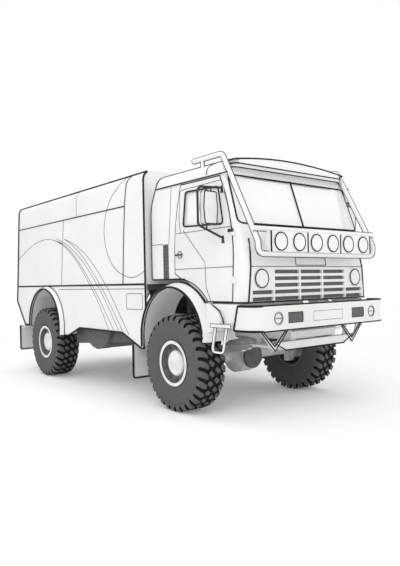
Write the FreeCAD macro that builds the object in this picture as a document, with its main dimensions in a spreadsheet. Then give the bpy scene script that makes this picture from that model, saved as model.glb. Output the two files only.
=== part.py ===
import FreeCAD
import Part
import math
import os
import Sketcher
from FreeCAD import Placement, Rotation, Vector

# Off-road cargo truck with a cab over the engine, a panelled load body and four large wheels.
# Lengths are in millimetres. +X points to the nose, +Y to the left and +Z up. The origin lies
# on the ground, half way along and half way across the truck.

SIZES = {
    # Whole vehicle
    "wheelbase": 4050,
    "track": 2220,
    "seat_gap": 0.3,
    "cut_over": 20,
    # Wheels
    "tyre_radius": 630,
    "tyre_width": 420,
    "tread_half": 185,
    "shoulder_drop": 75,
    "lug_depth": 28,
    "lug_inner": 28,
    "lug_count": 30,
    "bulge_radius": 450,
    "bead_radius": 275,
    "bead_half": 170,
    "rim_ring_radius": 302,
    "rim_ring_inner": 255,
    "rim_barrel": 262,
    "rim_sheet": 14,
    "rim_half": 178,
    "dish_depth": 60,
    "dish_sheet": 16,
    "hub_cap_radius": 168,
    "hub_cap_rise": 34,
    "spindle_radius": 42,
    "spindle_gap": 0.08,
    # Axles and steering
    "axle_tube_radius": 75,
    "banjo_radius": 235,
    "banjo_half": 120,
    "banjo_slope": 110,
    "banjo_side": 100,
    "pinion_radius": 90,
    "pinion_reach": 420,
    "cover_radius": 165,
    "kingpin_inset": 125,
    "kingpin_radius": 22,
    "kingpin_gap": 0.08,
    "yoke_half": 40,
    "yoke_height": 185,
    "yoke_sheet": 40,
    "yoke_web": 40,
    "knuckle_half": 55,
    "knuckle_gap": 6,
    "hub_flange_radius": 150,
    "hub_flange": 24,
    # Frame
    "rail_outer": 430,
    "rail_width": 80,
    "rail_sheet": 12,
    "rail_low": 950,
    "rail_top": 1200,
    "rail_front": 3300,
    "rail_rear": 3300,
    "cross_member": 90,
    "coupling_across": 160,
    "coupling_up": 100,
    "coupling_hole": 10.5,
    # Springs and dampers
    "leaf_half_length": 720,
    "leaf_rise": 95,
    "leaf_thick": 16,
    "leaf_count": 4,
    "leaf_step": 110,
    "eye_radius": 28,
    "damper_radius": 35,
    "damper_top": 1150,
    "damper_ahead": 150,
    # Engine and driveline
    "engine_front": 2850,
    "engine_rear": 1750,
    "engine_half": 330,
    "engine_low": 1000,
    "engine_top": 1620,
    "mount_sheet": 40,
    "gearbox_half": 200,
    "gearbox_low": 1010,
    "gearbox_top": 1400,
    "gearbox_rear": 950,
    "transfer_front": 700,
    "transfer_rear": 300,
    "transfer_half": 260,
    "transfer_low": 820,
    "shaft_radius": 38,
    # Fuel tanks and guards
    "tank_centre": -295,
    "tank_radius": 490,
    "tank_axis_height": 1115,
    "tank_top": 1480,
    "tank_inner": 560,
    "tank_outer": 1150,
    "guard_front": 750,
    "guard_rear": -1150,
    "guard_top": 1000,
    "guard_low_front": 800,
    "guard_low_rear": 650,
    "guard_outer": 1090,
    "guard_sheet": 40,
    "tank_arm": 90,
    # Load body
    "body_half": 1250,
    "body_wall": 40,
    "body_front": 1335,
    "body_low": 1669,
    "body_top": 3280,
    "body_shoulder": 140,
    "floor_sheet": 60,
    "tail_low": 3478,
    "tail_kink": 60,
    "tail_top": 3318,
    "tail_corner": 70,
    "bearer_width": 80,
    "bearer_height": 80,
    "tail_frame": 60,
    "door_gap": 8,
    "door_slab": 40,
    "tail_hinge_radius": 14,
    "tail_hinge_length": 60,
    "hinge_lift": 4,
    "tail_pin": 7,
    "tail_strap": 12,
    "tail_strap_length": 150,
    "lock_bar_radius": 13,
    # Lower body panels
    "skirt_sheet": 30,
    "skirt_low": 955,
    "skirt_tip_low": 763,
    "skirt_kink_height": 1372,
    "skirt_tail_low": 905,
    "skirt_tail_corner": 3110,
    "arch_radius": 672,
    "arch_sheet": 12,
    "arch_rise": 320,
    "front_arch_ahead": -15,
    "flare_radius": 735,
    "rear_flare_radius": 725,
    "rear_arch_drop": 10,
    "flare_outer": 1330,
    "front_flare_slope": 150,
    "rear_flare_slope": 80,
    "arch_inner": 800,
    "front_leg_low": 1065,
    "rear_leg_low": 800,
    "front_liner_low": 940,
    "fender_arm": 40,
    "fender_inner": 1172,
    "fender_nose": 2920,
    "fender_nose_low": 1110,
    "fender_nose_top": 1290,
    "fender_bump": 1420,
    "valance_front": 3190,
    "valance_sheet": 14,
    "valance_low": 1190,
    "valance_top": 1412,
    "flap_sheet": 10,
    "flap_width": 400,
    "flap_low_front": 320,
    "flap_low_rear": 390,
    "flap_top_front": 800,
    "flap_top_rear": 880,
    "flap_inset": 35,
    "flap_round": 40,
    "front_flap_place": 1040,
    "rear_flap_place": 3290,
    # Bumper and the parts under the nose
    "bumper_lead": 258,
    "bumper_low": 1119,
    "bumper_top": 1392,
    "bumper_half": 1250,
    "bumper_end": 3170,
    "bumper_sheet": 40,
    "bumper_round": 200,
    "bumper_arm": 70,
    "round_lamp_side": 895,
    "round_lamp_radius": 78,
    "square_lamp_side": 600,
    "square_lamp_half": 132,
    "square_lamp_height": 130,
    "bumper_lamp_height": 1250,
    "bumper_lamp_depth": 45,
    "lamp_recess": 6,
    "skid_low": 840,
    "skid_front": 3330,
    "skid_rear": 2780,
    "skid_half": 760,
    "skid_half_low": 560,
    "skid_sheet": 40,
    "tow_side": 745,
    "tow_reach": 260,
    "tow_sheet": 30,
    "step_tube": 15,
    "step_side": 1265,
    "step_low": 845,
    "step_top": 1140,
    "step_front": 2990,
    "step_rear": 2830,
    "step_lean": 75,
    "step_plate": 45,
    "step_plate_front": 3165,
    "step_plate_rear": 2800,
    "step_arm": 80,
    # Cab
    "cab_half": 1160,
    "cab_wall": 45,
    "cab_rear": 1385,
    "cab_low": 1430,
    "cab_floor_low": 1725,
    "cab_floor_sheet": 40,
    "cab_roof_edge": 3150,
    "cab_roof_top": 3235,
    "cab_roof_sheet": 45,
    "cab_back_bend": 2750,
    "cab_back_lean": 1600,
    "back_round": 600,
    "intake_rear": 1660,
    "intake_front": 1790,
    "intake_low": 1720,
    "intake_top": 2205,
    "intake_depth": 16,
    "intake_sheet": 5,
    "intake_rim": 10,
    "intake_slots": 10,
    "roof_seam": 2985,
    "drip_rail": 12,
    "visor_ahead": 75,
    "visor_low": 3060,
    "visor_half": 1035,
    "visor_slope": 45,
    "screen_top_place": 2935,
    "screen_top_height": 3000,
    "screen_low_place": 3168,
    "screen_low_height": 2340,
    "nose_mid_place": 3240,
    "nose_mid_height": 2100,
    "nose_place": 3280,
    "nose_height": 1850,
    "cab_corner": 80,
    "roof_shoulder": 110,
    "crown_radius": 6200,
    "screen_edge_top": 2955,
    "screen_edge_low": 2366,
    "screen_half_top": 1035,
    "screen_half_low": 1095,
    "screen_post": 18,
    "screen_round": 70,
    "glass_sheet": 8,
    "glass_inset": 16,
    "panel_half": 1075,
    "panel_top": 1848,
    "panel_sheet": 35,
    "slot_height": 46,
    "slot_pitch": 81,
    "slot_first": 1790,
    "slot_inner_half": 205,
    "slot_gap": 26,
    "slot_outer_reach": 672,
    "slot_side_inner": 700,
    "slot_side_outer": 1045,
    "headlamp_side": 898,
    "headlamp_radius": 108,
    "headlamp_height": 1710,
    "headlamp_depth": 53,
    "headlamp_proud": 12,
    "pivot_place": 3205,
    "pivot_height": 1465,
    "pivot_pin": 15,
    "pivot_eye": 24,
    "pivot_arm_side": 390,
    "pivot_arm_sheet": 60,
    "lug_sheet": 25,
    "lug_gap": 8,
    "lug_reach": 22,
    # Cab doors
    "door_sweep": 775,
    "door_waist": 1990,
    "door_front_curve": 2268,
    "door_rear_curve": 2972,
    "door_hinge_low": 1700,
    "door_hinge_top": 2260,
    "hinge_radius": 14,
    "hinge_length": 40,
    "hinge_pin": 7,
    "door_sheet": 50,
    "door_proud": 5,
    "door_top": 2955,
    "door_front_top": 2885,
    "door_front_mid": 3090,
    "door_front_low": 3062,
    "door_mid_height": 2340,
    "door_low": 1440,
    "door_rear_top": 2092,
    "door_rear_mid": 1962,
    "door_rear_low": 1932,
    "door_sweep_place": 2400,
    "door_sweep_height": 1650,
    "door_toe_place": 2610,
    "door_heel_height": 1800,
    "window_top": 2850,
    "window_low": 2390,
    "window_rear_top": 2195,
    "window_rear_low": 2132,
    "window_front_top": 2842,
    "window_front_low": 2926,
    "door_clear": 8,
    "door_hinge_place": 3100,
    "door_hinge_side": 1178,
    "handle_length": 160,
    "handle_height": 2045,
    "handle_rise": 22,
    "handle_plate": 46,
    # Mirrors
    "mirror_tube": 14,
    "mirror_place": 2850,
    "mirror_side": 1490,
    "mirror_top": 2800,
    "mirror_low": 2350,
    "mirror_foot_height": 2200,
    "mirror_foot_place": 2930,
    "mirror_bend": 60,
    "mirror_foot": 30,
    "mirror_head_half": 105,
    "mirror_head_low": 2365,
    "mirror_head_top": 2745,
    "mirror_head_depth": 70,
    "mirror_head_round": 1400,
    "mirror_head_side": 1350,
    # Light bar
    "bar_tube": 32,
    "bar_side": 1100,
    "bar_roof_rise": 27,
    "bar_roof_rear": 2300,
    "bar_roof_front": 2860,
    "bar_low_place": 3440,
    "bar_low_height": 1990,
    "bar_bend": 150,
    "bar_cross_height": 2282,
    "bar_cross_half": 1150,
    "bar_post_place": 2480,
    "bar_post_radius": 24,
    "lamp_box_front": 3500,
    "lamp_box_rear": 3400,
    "lamp_box_sheet": 12,
    "lamp_box_half": 948,
    "lamp_box_low": 2016,
    "lamp_box_top": 2252,
    "lamp_box_gap": 10,
    "spot_radius": 104,
    "spot_pitch": 316,
    "spot_depth": 70,
    "spot_proud": 8,
    # Cab interior
    "seat_side": 640,
    "seat_half": 250,
    "seat_low": 1960,
    "seat_cushion": 130,
    "seat_rear": 1760,
    "seat_front": 2280,
    "seat_back_top": 2760,
    "seat_back": 130,
    "seat_base_half": 180,
    "dash_rear": 2850,
    "dash_top": 2300,
    "dash_low": 1880,
    "dash_half": 1040,
    "wheel_radius": 225,
    "wheel_rim": 15,
    "wheel_place": 2640,
    "wheel_height": 2330,
    "column_radius": 25,
}


class Size(float):
    """A length that remembers the sheet expression it comes from."""

    def __new__(cls, value, text):
        made = float.__new__(cls, value)
        made.text = text
        return made

    def __add__(self, other):
        return Size(float(self) + float(other), f"({self.text} + {text_of(other)})")

    def __radd__(self, other):
        return Size(float(other) + float(self), f"({text_of(other)} + {self.text})")

    def __sub__(self, other):
        return Size(float(self) - float(other), f"({self.text} - {text_of(other)})")

    def __rsub__(self, other):
        return Size(float(other) - float(self), f"({text_of(other)} - {self.text})")

    def __mul__(self, other):
        return Size(float(self) * float(other), f"({self.text} * {text_of(other)})")

    def __rmul__(self, other):
        return Size(float(other) * float(self), f"({text_of(other)} * {self.text})")

    def __truediv__(self, other):
        return Size(float(self) / float(other), f"({self.text} / {text_of(other)})")

    def __neg__(self):
        return Size(-float(self), f"(0 - {self.text})")


def text_of(value):
    if isinstance(value, Size):
        return value.text
    return repr(float(value))


doc = FreeCAD.newDocument("Truck")
sheet = doc.addObject("Spreadsheet::Sheet", "Sheet")


class Sizes:
    """The driving dimensions, each bound to its cell."""


s = Sizes()
for row, (alias, number) in enumerate(SIZES.items(), start=1):
    cell = f"A{row}"
    sheet.set(cell, str(number))
    sheet.setAlias(cell, alias)
    setattr(s, alias, Size(number, f"Sheet.{alias}"))
doc.recompute()

FACING = {"x": Vector(1, 0, 0), "y": Vector(0, 1, 0), "z": Vector(0, 0, 1)}
PLANES = {"x": "YZ_Plane", "y": "XZ_Plane", "z": "XY_Plane"}
RIGHT, LEFT = -1, 1
nodes = {}


def bind(thing, path, value):
    if isinstance(value, Size):
        thing.setExpression(path, value.text)


def put(thing, place, turn=None):
    """Stand an object at a place that follows the sheet."""
    thing.Placement = Placement(Vector(*[float(v) for v in place]), turn or Rotation())
    for letter, value in zip("xyz", place):
        bind(thing, f"Placement.Base.{letter}", value)
    return thing


def box(name, low, high):
    """A block between two corners."""
    piece = doc.addObject("Part::Box", name)
    for side, a, b in zip(("Length", "Width", "Height"), low, high):
        span = b - a
        setattr(piece, side, float(span))
        bind(piece, side, span)
    return put(piece, low)


def cylinder(name, base, radius, height, axis="z"):
    """A round bar that runs from its base along one axis."""
    piece = doc.addObject("Part::Cylinder", name)
    piece.Radius = float(radius)
    piece.Height = float(height)
    bind(piece, "Radius", radius)
    bind(piece, "Height", height)
    return put(piece, base, Rotation(FACING["z"], FACING[axis]))


def draw(sketch, points, arcs=None, first=0):
    """Draw one closed outline, each corner held by its own sizes.

    An arc is given for the edge that starts at a corner, as centre and radius.
    A corner that lies on an arc is held by only one of its two sizes.
    """
    arcs = arcs or {}
    count = len(points)
    ends = []
    shapes = []
    for i, point in enumerate(points):
        a = Vector(float(point[0]), float(point[1]), 0)
        b = Vector(float(points[(i + 1) % count][0]), float(points[(i + 1) % count][1]), 0)
        if i not in arcs:
            shapes.append(Part.LineSegment(a, b))
            ends.append((1, 2))
            continue
        centre = Vector(float(arcs[i][0]), float(arcs[i][1]), 0)
        circle = Part.Circle(centre, Vector(0, 0, 1), float(arcs[i][2]))
        start = math.atan2(a.y - centre.y, a.x - centre.x)
        stop = math.atan2(b.y - centre.y, b.x - centre.x)
        if arcs[i][3] == "left":
            shapes.append(Part.ArcOfCircle(circle, start, stop if stop > start else stop + 2 * math.pi))
            ends.append((1, 2))
        else:
            shapes.append(Part.ArcOfCircle(circle, stop, start if start > stop else start + 2 * math.pi))
            ends.append((2, 1))
    sketch.addGeometry(shapes, False)
    held = []
    for i in range(count):
        after = (i + 1) % count
        held.append((Sketcher.Constraint("Coincident", first + i, ends[i][1], first + after, ends[after][0]), None))
    for i, point in enumerate(points):
        keep = point[2] if len(point) > 2 else "xy"
        for letter, kind, value in (("x", "DistanceX", point[0]), ("y", "DistanceY", point[1])):
            if letter in keep:
                held.append((Sketcher.Constraint(kind, -1, 1, first + i, ends[i][0], float(value)), value))
    for i, arc in arcs.items():
        held.append((Sketcher.Constraint("DistanceX", -1, 1, first + i, 3, float(arc[0])), arc[0]))
        held.append((Sketcher.Constraint("DistanceY", -1, 1, first + i, 3, float(arc[1])), arc[1]))
        held.append((Sketcher.Constraint("Radius", first + i, float(arc[2])), arc[2]))
    start = sketch.ConstraintCount
    sketch.addConstraint([item[0] for item in held])
    for i, item in enumerate(held):
        bind(sketch, f"Constraints[{start + i}]", item[1])
    return first + count


def sketch_on(body, axis, offset, name):
    """An empty sketch on one of the body's own planes, moved along that plane's normal."""
    sketch = body.newObject("Sketcher::SketchObject", name)
    plane = [f for f in body.Origin.OriginFeatures if f.Role == PLANES[axis]][0]
    sketch.AttachmentSupport = [(plane, "")]
    sketch.MapMode = "FlatFace"
    shift = -offset if axis == "y" else offset
    sketch.AttachmentOffset = Placement(Vector(0, 0, float(shift)), Rotation())
    bind(sketch, "AttachmentOffset.Base.z", shift)
    return sketch


def plate(name, axis, points, low, high, arcs=None, rounds=None):
    """A sheet or block of one outline, between two stations along an axis, with rounded corners."""
    body = doc.addObject("PartDesign::Body", name)
    sketch = sketch_on(body, axis, high if axis == "y" else low, name + "_outline")
    draw(sketch, points, arcs)
    pad = body.newObject("PartDesign::Pad", name + "_pad")
    pad.Profile = sketch
    pad.Length = float(high - low)
    bind(pad, "Length", high - low)
    sketch.Visibility = False
    if rounds:
        doc.recompute()
        round_corners(body, pad, axis, points, rounds)
    return body


def flat(axis, point):
    """The two coordinates of a point in the outline plane of an axis."""
    return {"x": (point.y, point.z), "y": (point.x, point.z), "z": (point.x, point.y)}[axis]


def corner_edges(feature, axis, corner):
    """The edges of a feature that run along an axis through one corner of its outline."""
    names = []
    for number, edge in enumerate(feature.Shape.Edges, start=1):
        ends = [flat(axis, v.Point) for v in edge.Vertexes]
        near = [math.dist(end, corner) < 0.01 for end in ends]
        if len(ends) == 2 and all(near):
            names.append(f"Edge{number}")
    return names


def round_corners(body, feature, axis, points, rounds):
    """Round the corners of an outline: a list of (radius, corner numbers)."""
    for radius, corners in rounds:
        names = []
        for corner in corners:
            place = (float(points[corner][0]), float(points[corner][1]))
            names += corner_edges(feature, axis, place)
        fillet = body.newObject("PartDesign::Fillet", body.Name + "_round")
        fillet.Base = (feature, names)
        fillet.Radius = float(radius)
        bind(fillet, "Radius", radius)
        doc.recompute()
        feature = fillet
    return feature


def ring(name, profile, place, arcs=None):
    """A solid turned about the Y axis from an outline of (along, radius) points."""
    body = doc.addObject("PartDesign::Body", name)
    sketch = sketch_on(body, "x", 0, name + "_outline")
    draw(sketch, profile, arcs)
    turned = body.newObject("PartDesign::Revolution", name + "_turn")
    turned.Profile = sketch
    turned.ReferenceAxis = (sketch, ["H_Axis"])
    turned.Angle = 360
    sketch.Visibility = False
    return put(body, place)


def cut(name, base, tools):
    """A piece with other pieces taken out of it."""
    if len(tools) > 1:
        tool = doc.addObject("Part::MultiFuse", name + "_tools")
        tool.Shapes = tools
    else:
        tool = tools[0]
    made = doc.addObject("Part::Cut", name)
    made.Base = base
    made.Tool = tool
    return made


def fuse(name, pieces):
    made = doc.addObject("Part::MultiFuse", name)
    made.Shapes = pieces
    return made


def common(name, one, other):
    made = doc.addObject("Part::Common", name)
    made.Base = one
    made.Tool = other
    return made


def mirrored(name, piece):
    """The same piece on the other side of the truck."""
    made = doc.addObject("Part::Mirroring", name)
    made.Source = piece
    made.Normal = Vector(0, 1, 0)
    made.Base = Vector(0, 0, 0)
    return made


def together(name, pieces):
    made = doc.addObject("Part::Compound", name)
    made.Links = pieces
    return made


def both_sides(name, piece):
    return together(name, [piece, mirrored(name + "_left", piece)])


def node(name, piece):
    """Name a finished piece. Its label becomes the name of its file."""
    piece.Label = name
    nodes[name] = piece
    return piece


def bent_path(points, bend):
    """Straight runs joined by tangent arcs of one radius."""
    edges = []
    last = points[0]
    for before, corner, after in zip(points, points[1:], points[2:]):
        back = (before - corner).normalize()
        on = (after - corner).normalize()
        half = back.getAngle(on) / 2
        reach = bend / math.tan(half)
        start = corner + back * reach
        stop = corner + on * reach
        middle = corner + (back + on).normalize() * (bend / math.sin(half) - bend)
        edges.append(Part.LineSegment(last, start).toShape())
        edges.append(Part.Arc(start, middle, stop).toShape())
        last = stop
    edges.append(Part.LineSegment(last, points[-1]).toShape())
    return Part.Wire(edges)


def tube(name, points, bend, radius):
    """A bent round bar along a path."""
    points = [Vector(*[float(v) for v in point]) for point in points]
    path = bent_path(points, float(bend))
    start = path.Edges[0]
    along = start.tangentAt(start.FirstParameter)
    section = Part.Wire(Part.makeCircle(float(radius), points[0], along))
    piece = doc.addObject("Part::Feature", name)
    piece.Shape = path.makePipeShell([section], True, False)
    return piece


def bar(name, start, stop, radius):
    """A straight round bar between two points."""
    a = Vector(*[float(v) for v in start])
    b = Vector(*[float(v) for v in stop])
    piece = doc.addObject("Part::Feature", name)
    piece.Shape = Part.makeCylinder(float(radius), (b - a).Length, a, b - a)
    return piece


front_axle_place = s.wheelbase / 2
rear_axle_place = -(s.wheelbase / 2)
wheel_side = s.track / 2
nose_reach = s.nose_place + s.bumper_lead


# Wheels

def tread_sector():
    """One pitch of the tyre: a flat piece of the casing with a lug on each shoulder, half a pitch apart."""
    half = s.tyre_width / 2
    floor = s.tyre_radius - s.lug_depth
    shoulder = s.tyre_radius - s.shoulder_drop
    floor_half = half - (half - s.tread_half) * (s.shoulder_drop - s.lug_depth) / s.shoulder_drop
    casing = [
        (-(s.bead_half), s.rim_barrel),
        (s.bead_half, s.rim_barrel),
        (s.bead_half, s.rim_ring_radius),
        (half, shoulder),
        (floor_half - s.lug_depth / 2, floor),
        (-floor_half + s.lug_depth / 2, floor),
        (-half, shoulder),
        (-(s.bead_half), s.rim_ring_radius),
    ]
    lug = [
        (s.lug_inner, floor - s.lug_depth),
        (floor_half - s.lug_depth / 2, floor - s.lug_depth),
        (half, shoulder),
        (s.tread_half, s.tyre_radius),
        (s.lug_inner, s.tyre_radius),
    ]
    reach = s.lug_depth + s.lug_depth + s.lug_depth
    strip = plate("tyre_strip", "x", casing, -reach, reach)
    left_lug = plate("tyre_lug_left", "x", lug, -reach, s.lug_depth * 0)
    right_lug = plate("tyre_lug_right", "x", [(-across, up) for across, up in lug], s.lug_depth * 0, reach)
    top = s.tyre_radius + s.cut_over
    spread = top * math.tan(math.pi / SIZES["lug_count"])
    wedge = plate("tyre_wedge", "y", [(s.lug_depth * 0, s.lug_depth * 0), (spread, top), (-spread, top)],
                  -half - s.cut_over, half + s.cut_over)
    return common("tyre_sector", fuse("tyre_pitch", [strip, left_lug, right_lug]), wedge)


def repeated(name, piece, count):
    """A piece repeated round the axle line and joined into one solid."""
    doc.recompute()
    copies = []
    for number in range(count):
        copy = piece.Shape.copy()
        copy.rotate(Vector(0, 0, 0), FACING["y"], 360 * number / count)
        copies.append(copy)
    made = doc.addObject("Part::Feature", name)
    made.Shape = copies[0].fuse(copies[1:]).removeSplitter()
    return made


tyre_form = repeated("tyre_form", tread_sector(), SIZES["lug_count"])


def make_tyre(name, along, side):
    tyre = together(name, [tyre_form])
    turn = Rotation(FACING["z"], 180 if side == RIGHT else 0)
    return node(name, put(tyre, (along, side * wheel_side, s.tyre_radius), turn))


def make_rim(name, along, side):
    """Dished steel wheel: barrel, outer ring, dish and hub cap, with a bore for the spindle."""
    face = s.rim_half - s.dish_depth
    bore = s.spindle_radius + s.spindle_gap
    profile = [
        (-(s.rim_half), s.rim_barrel - s.rim_sheet),
        (-(s.rim_half), s.rim_ring_inner + s.rim_sheet),
        (-(s.bead_half) - s.seat_gap, s.rim_ring_radius - s.rim_sheet),
        (-(s.bead_half), s.rim_barrel),
        (s.bead_half, s.rim_barrel),
        (s.bead_half + s.seat_gap + s.seat_gap, s.rim_ring_radius - s.seat_gap),
        (s.rim_half + s.rim_sheet, s.rim_ring_radius - s.seat_gap),
        (s.rim_half + s.rim_sheet, s.rim_ring_inner),
        (face + s.dish_sheet, s.rim_barrel - s.rim_sheet - s.rim_sheet),
        (face + s.dish_sheet, s.hub_cap_radius),
        (face + s.hub_cap_rise, s.hub_cap_radius - s.dish_sheet),
        (face + s.hub_cap_rise, 0),
        (face, 0),
        (face, bore),
        (face - s.dish_depth, bore),
        (face - s.dish_depth, s.hub_flange_radius),
        (face, s.hub_flange_radius),
        (face, s.rim_barrel - s.rim_sheet),
    ]
    body = ring(name, profile, (along, side * wheel_side, s.tyre_radius))
    if side == RIGHT:
        body.Placement.Rotation = Rotation(FACING["z"], 180)
    return node(name, body)


for end, along in (("front", front_axle_place), ("rear", rear_axle_place)):
    for word, side in (("right", RIGHT), ("left", LEFT)):
        make_tyre(f"tyre_{end}_{word}", along, side)
        make_rim(f"rim_{end}_{word}", along, side)

hub_seat = wheel_side + s.rim_half - s.dish_depth - s.dish_depth
kingpin_side = wheel_side - s.kingpin_inset


# Axles

def axle_casing(name, half, along):
    """Tube with a banjo bulge, turned in one piece."""
    profile = [
        (-half, 0),
        (half, 0),
        (half, s.axle_tube_radius),
        (s.banjo_slope + s.banjo_half - s.banjo_side, s.axle_tube_radius),
        (s.banjo_half - s.banjo_side, s.banjo_radius),
        (-(s.banjo_half) - s.banjo_side, s.banjo_radius),
        (-(s.banjo_slope) - s.banjo_half - s.banjo_side, s.axle_tube_radius),
        (-half, s.axle_tube_radius),
    ]
    return ring(name, profile, (along, 0, s.tyre_radius))


def differential(name, along, ahead):
    """Pinion housing behind or ahead of the banjo and the round cover on its other side."""
    nose = cylinder(name + "_pinion", (along if ahead > 0 else along - s.pinion_reach, -(s.banjo_side),
                                       s.tyre_radius), s.pinion_radius, s.pinion_reach, "x")
    reach = s.banjo_radius + s.mount_sheet
    cover = cylinder(name + "_cover", (along if ahead < 0 else along - reach, -(s.banjo_side), s.tyre_radius),
                     s.cover_radius, reach, "x")
    return [nose, cover]


def yoke(name, side):
    """Fork at the end of the front axle, with the kingpin through its two arms."""
    near, far = kingpin_side - s.kingpin_inset, kingpin_side
    low_side, high_side = (near, far) if side == LEFT else (-far, -near)
    pieces = []
    for part, base in (("upper", s.tyre_radius + s.yoke_height - s.yoke_sheet),
                       ("lower", s.tyre_radius - s.yoke_height)):
        pieces.append(box(f"{name}_{part}", (front_axle_place - s.yoke_half, low_side, base),
                          (front_axle_place + s.yoke_half, high_side, base + s.yoke_sheet)))
        pieces.append(cylinder(f"{name}_{part}_eye", (front_axle_place, side * kingpin_side, base),
                               s.yoke_half, s.yoke_sheet))
    web_near, web_far = (near, near + s.yoke_web) if side == LEFT else (-near - s.yoke_web, -near)
    pieces.append(box(name + "_web", (front_axle_place - s.yoke_half, web_near, s.tyre_radius - s.yoke_height),
                      (front_axle_place + s.yoke_half, web_far, s.tyre_radius + s.yoke_height)))
    pieces.append(cylinder(name + "_pin", (front_axle_place, side * kingpin_side,
                                           s.tyre_radius - s.yoke_height),
                           s.kingpin_radius, s.yoke_height + s.yoke_height))
    return pieces


front_pieces = [axle_casing("front_casing", kingpin_side - s.kingpin_inset + s.yoke_web / 2, front_axle_place)]
front_pieces += differential("front_diff", front_axle_place, -1)
for word, side in (("right", RIGHT), ("left", LEFT)):
    front_pieces += yoke(f"yoke_{word}", side)
node("front_axle", fuse("front_axle", front_pieces))


def rear_spindle(name, side):
    base = hub_seat if side == LEFT else -hub_seat - s.dish_depth
    spindle = cylinder(name, (rear_axle_place, base, s.tyre_radius), s.spindle_radius,
                       s.dish_depth - s.seat_gap, "y")
    if side == RIGHT:
        put(spindle, (rear_axle_place, -hub_seat - s.dish_depth + s.seat_gap, s.tyre_radius),
            Rotation(FACING["z"], FACING["y"]))
    return spindle


rear_pieces = [axle_casing("rear_casing", hub_seat - s.seat_gap, rear_axle_place)]
rear_pieces += differential("rear_diff", rear_axle_place, 1)
for word, side in (("right", RIGHT), ("left", LEFT)):
    rear_pieces.append(rear_spindle(f"rear_spindle_{word}", side))
node("rear_axle", fuse("rear_axle", rear_pieces))


# Steering knuckles

def knuckle(name, side):
    """Block on the kingpin with the wheel's spindle and hub flange."""
    tall = s.yoke_height - s.yoke_sheet - s.knuckle_gap
    inner, outer = kingpin_side - s.knuckle_half, kingpin_side + s.knuckle_half
    low_side, high_side = (inner, outer) if side == LEFT else (-outer, -inner)
    block = box(name + "_block", (front_axle_place - s.knuckle_half, low_side, s.tyre_radius - tall),
                (front_axle_place + s.knuckle_half, high_side, s.tyre_radius + tall))
    bore = cylinder(name + "_bore", (front_axle_place, side * kingpin_side, s.tyre_radius - s.yoke_height),
                    s.kingpin_radius + s.kingpin_gap, s.yoke_height + s.yoke_height)
    neck_length = hub_seat - s.seat_gap - kingpin_side - s.kingpin_radius - s.kingpin_gap - s.knuckle_gap
    neck_near = hub_seat - s.seat_gap - neck_length
    neck = cylinder(name + "_neck", (front_axle_place, neck_near if side == LEFT else -neck_near - neck_length,
                                     s.tyre_radius), s.axle_tube_radius, neck_length, "y")
    flange_near = hub_seat - s.seat_gap - s.hub_flange
    flange = cylinder(name + "_flange",
                      (front_axle_place, flange_near if side == LEFT else -flange_near - s.hub_flange,
                       s.tyre_radius), s.hub_flange_radius, s.hub_flange, "y")
    pin_near = hub_seat - s.hub_flange
    pin_length = s.dish_depth + s.hub_flange - s.seat_gap
    pin = cylinder(name + "_spindle", (front_axle_place, pin_near if side == LEFT else -pin_near - pin_length,
                                       s.tyre_radius), s.spindle_radius, pin_length, "y")
    solid = fuse(name + "_solid", [block, neck, flange, pin])
    return cut(name, solid, [bore])


node("knuckle_right", knuckle("knuckle_right", RIGHT))
node("knuckle_left", knuckle("knuckle_left", LEFT))


# Frame

def rail(name):
    """Channel rail of the right side, open towards the middle."""
    outer, inner = -(s.rail_outer), -(s.rail_outer) + s.rail_width
    web, sheet = outer + s.rail_sheet, s.rail_sheet
    points = [
        (outer, s.rail_low),
        (inner, s.rail_low),
        (inner, s.rail_low + sheet),
        (web, s.rail_low + sheet),
        (web, s.rail_top - sheet),
        (inner, s.rail_top - sheet),
        (inner, s.rail_top),
        (outer, s.rail_top),
    ]
    return plate(name, "x", points, -(s.rail_rear), s.rail_front)


def pivot_arm(name):
    """Bracket on top of the rail that ends in the eye of the cab's tilt hinge."""
    post = s.pivot_place - s.pivot_arm_sheet - s.pivot_arm_sheet - s.pivot_arm_sheet
    points = [
        (post, s.rail_top),
        (post + s.pivot_arm_sheet, s.rail_top),
        (post + s.pivot_arm_sheet, s.pivot_height - s.pivot_eye),
        (s.pivot_place, s.pivot_height - s.pivot_eye),
        (s.pivot_place, s.pivot_height + s.pivot_eye),
        (post, s.pivot_height + s.pivot_eye),
    ]
    side = -(s.pivot_arm_side) - s.pivot_arm_sheet / 2
    arm = plate(name + "_arm", "y", points, side, side + s.pivot_arm_sheet)
    eye = cylinder(name + "_eye", (s.pivot_place, side, s.pivot_height), s.pivot_eye, s.pivot_arm_sheet, "y")
    reach = s.pivot_arm_sheet / 2 + s.lug_gap + s.lug_sheet
    pin = cylinder(name + "_pin", (s.pivot_place, -(s.pivot_arm_side) - reach, s.pivot_height),
                   s.pivot_pin, reach + reach, "y")
    rest_side = -(s.rail_outer) + s.rail_sheet
    rest = box(name + "_rest", (s.cab_rear + s.pivot_arm_sheet, rest_side, s.rail_top),
               (s.cab_rear + s.pivot_arm_sheet + s.pivot_arm_sheet, rest_side + s.pivot_arm_sheet,
                s.cab_floor_low - s.seat_gap))
    return [arm, eye, pin, rest]


def hanger(name, along):
    """Bracket under the rail that holds a spring eye."""
    eye_height = s.rail_low - s.cross_member
    sheet = s.cross_member / 2
    block = box(name, (along - sheet, -(s.rail_outer), eye_height + s.eye_radius),
                (along + sheet, -(s.rail_outer) + s.rail_width, s.rail_low))
    return [block]


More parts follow.
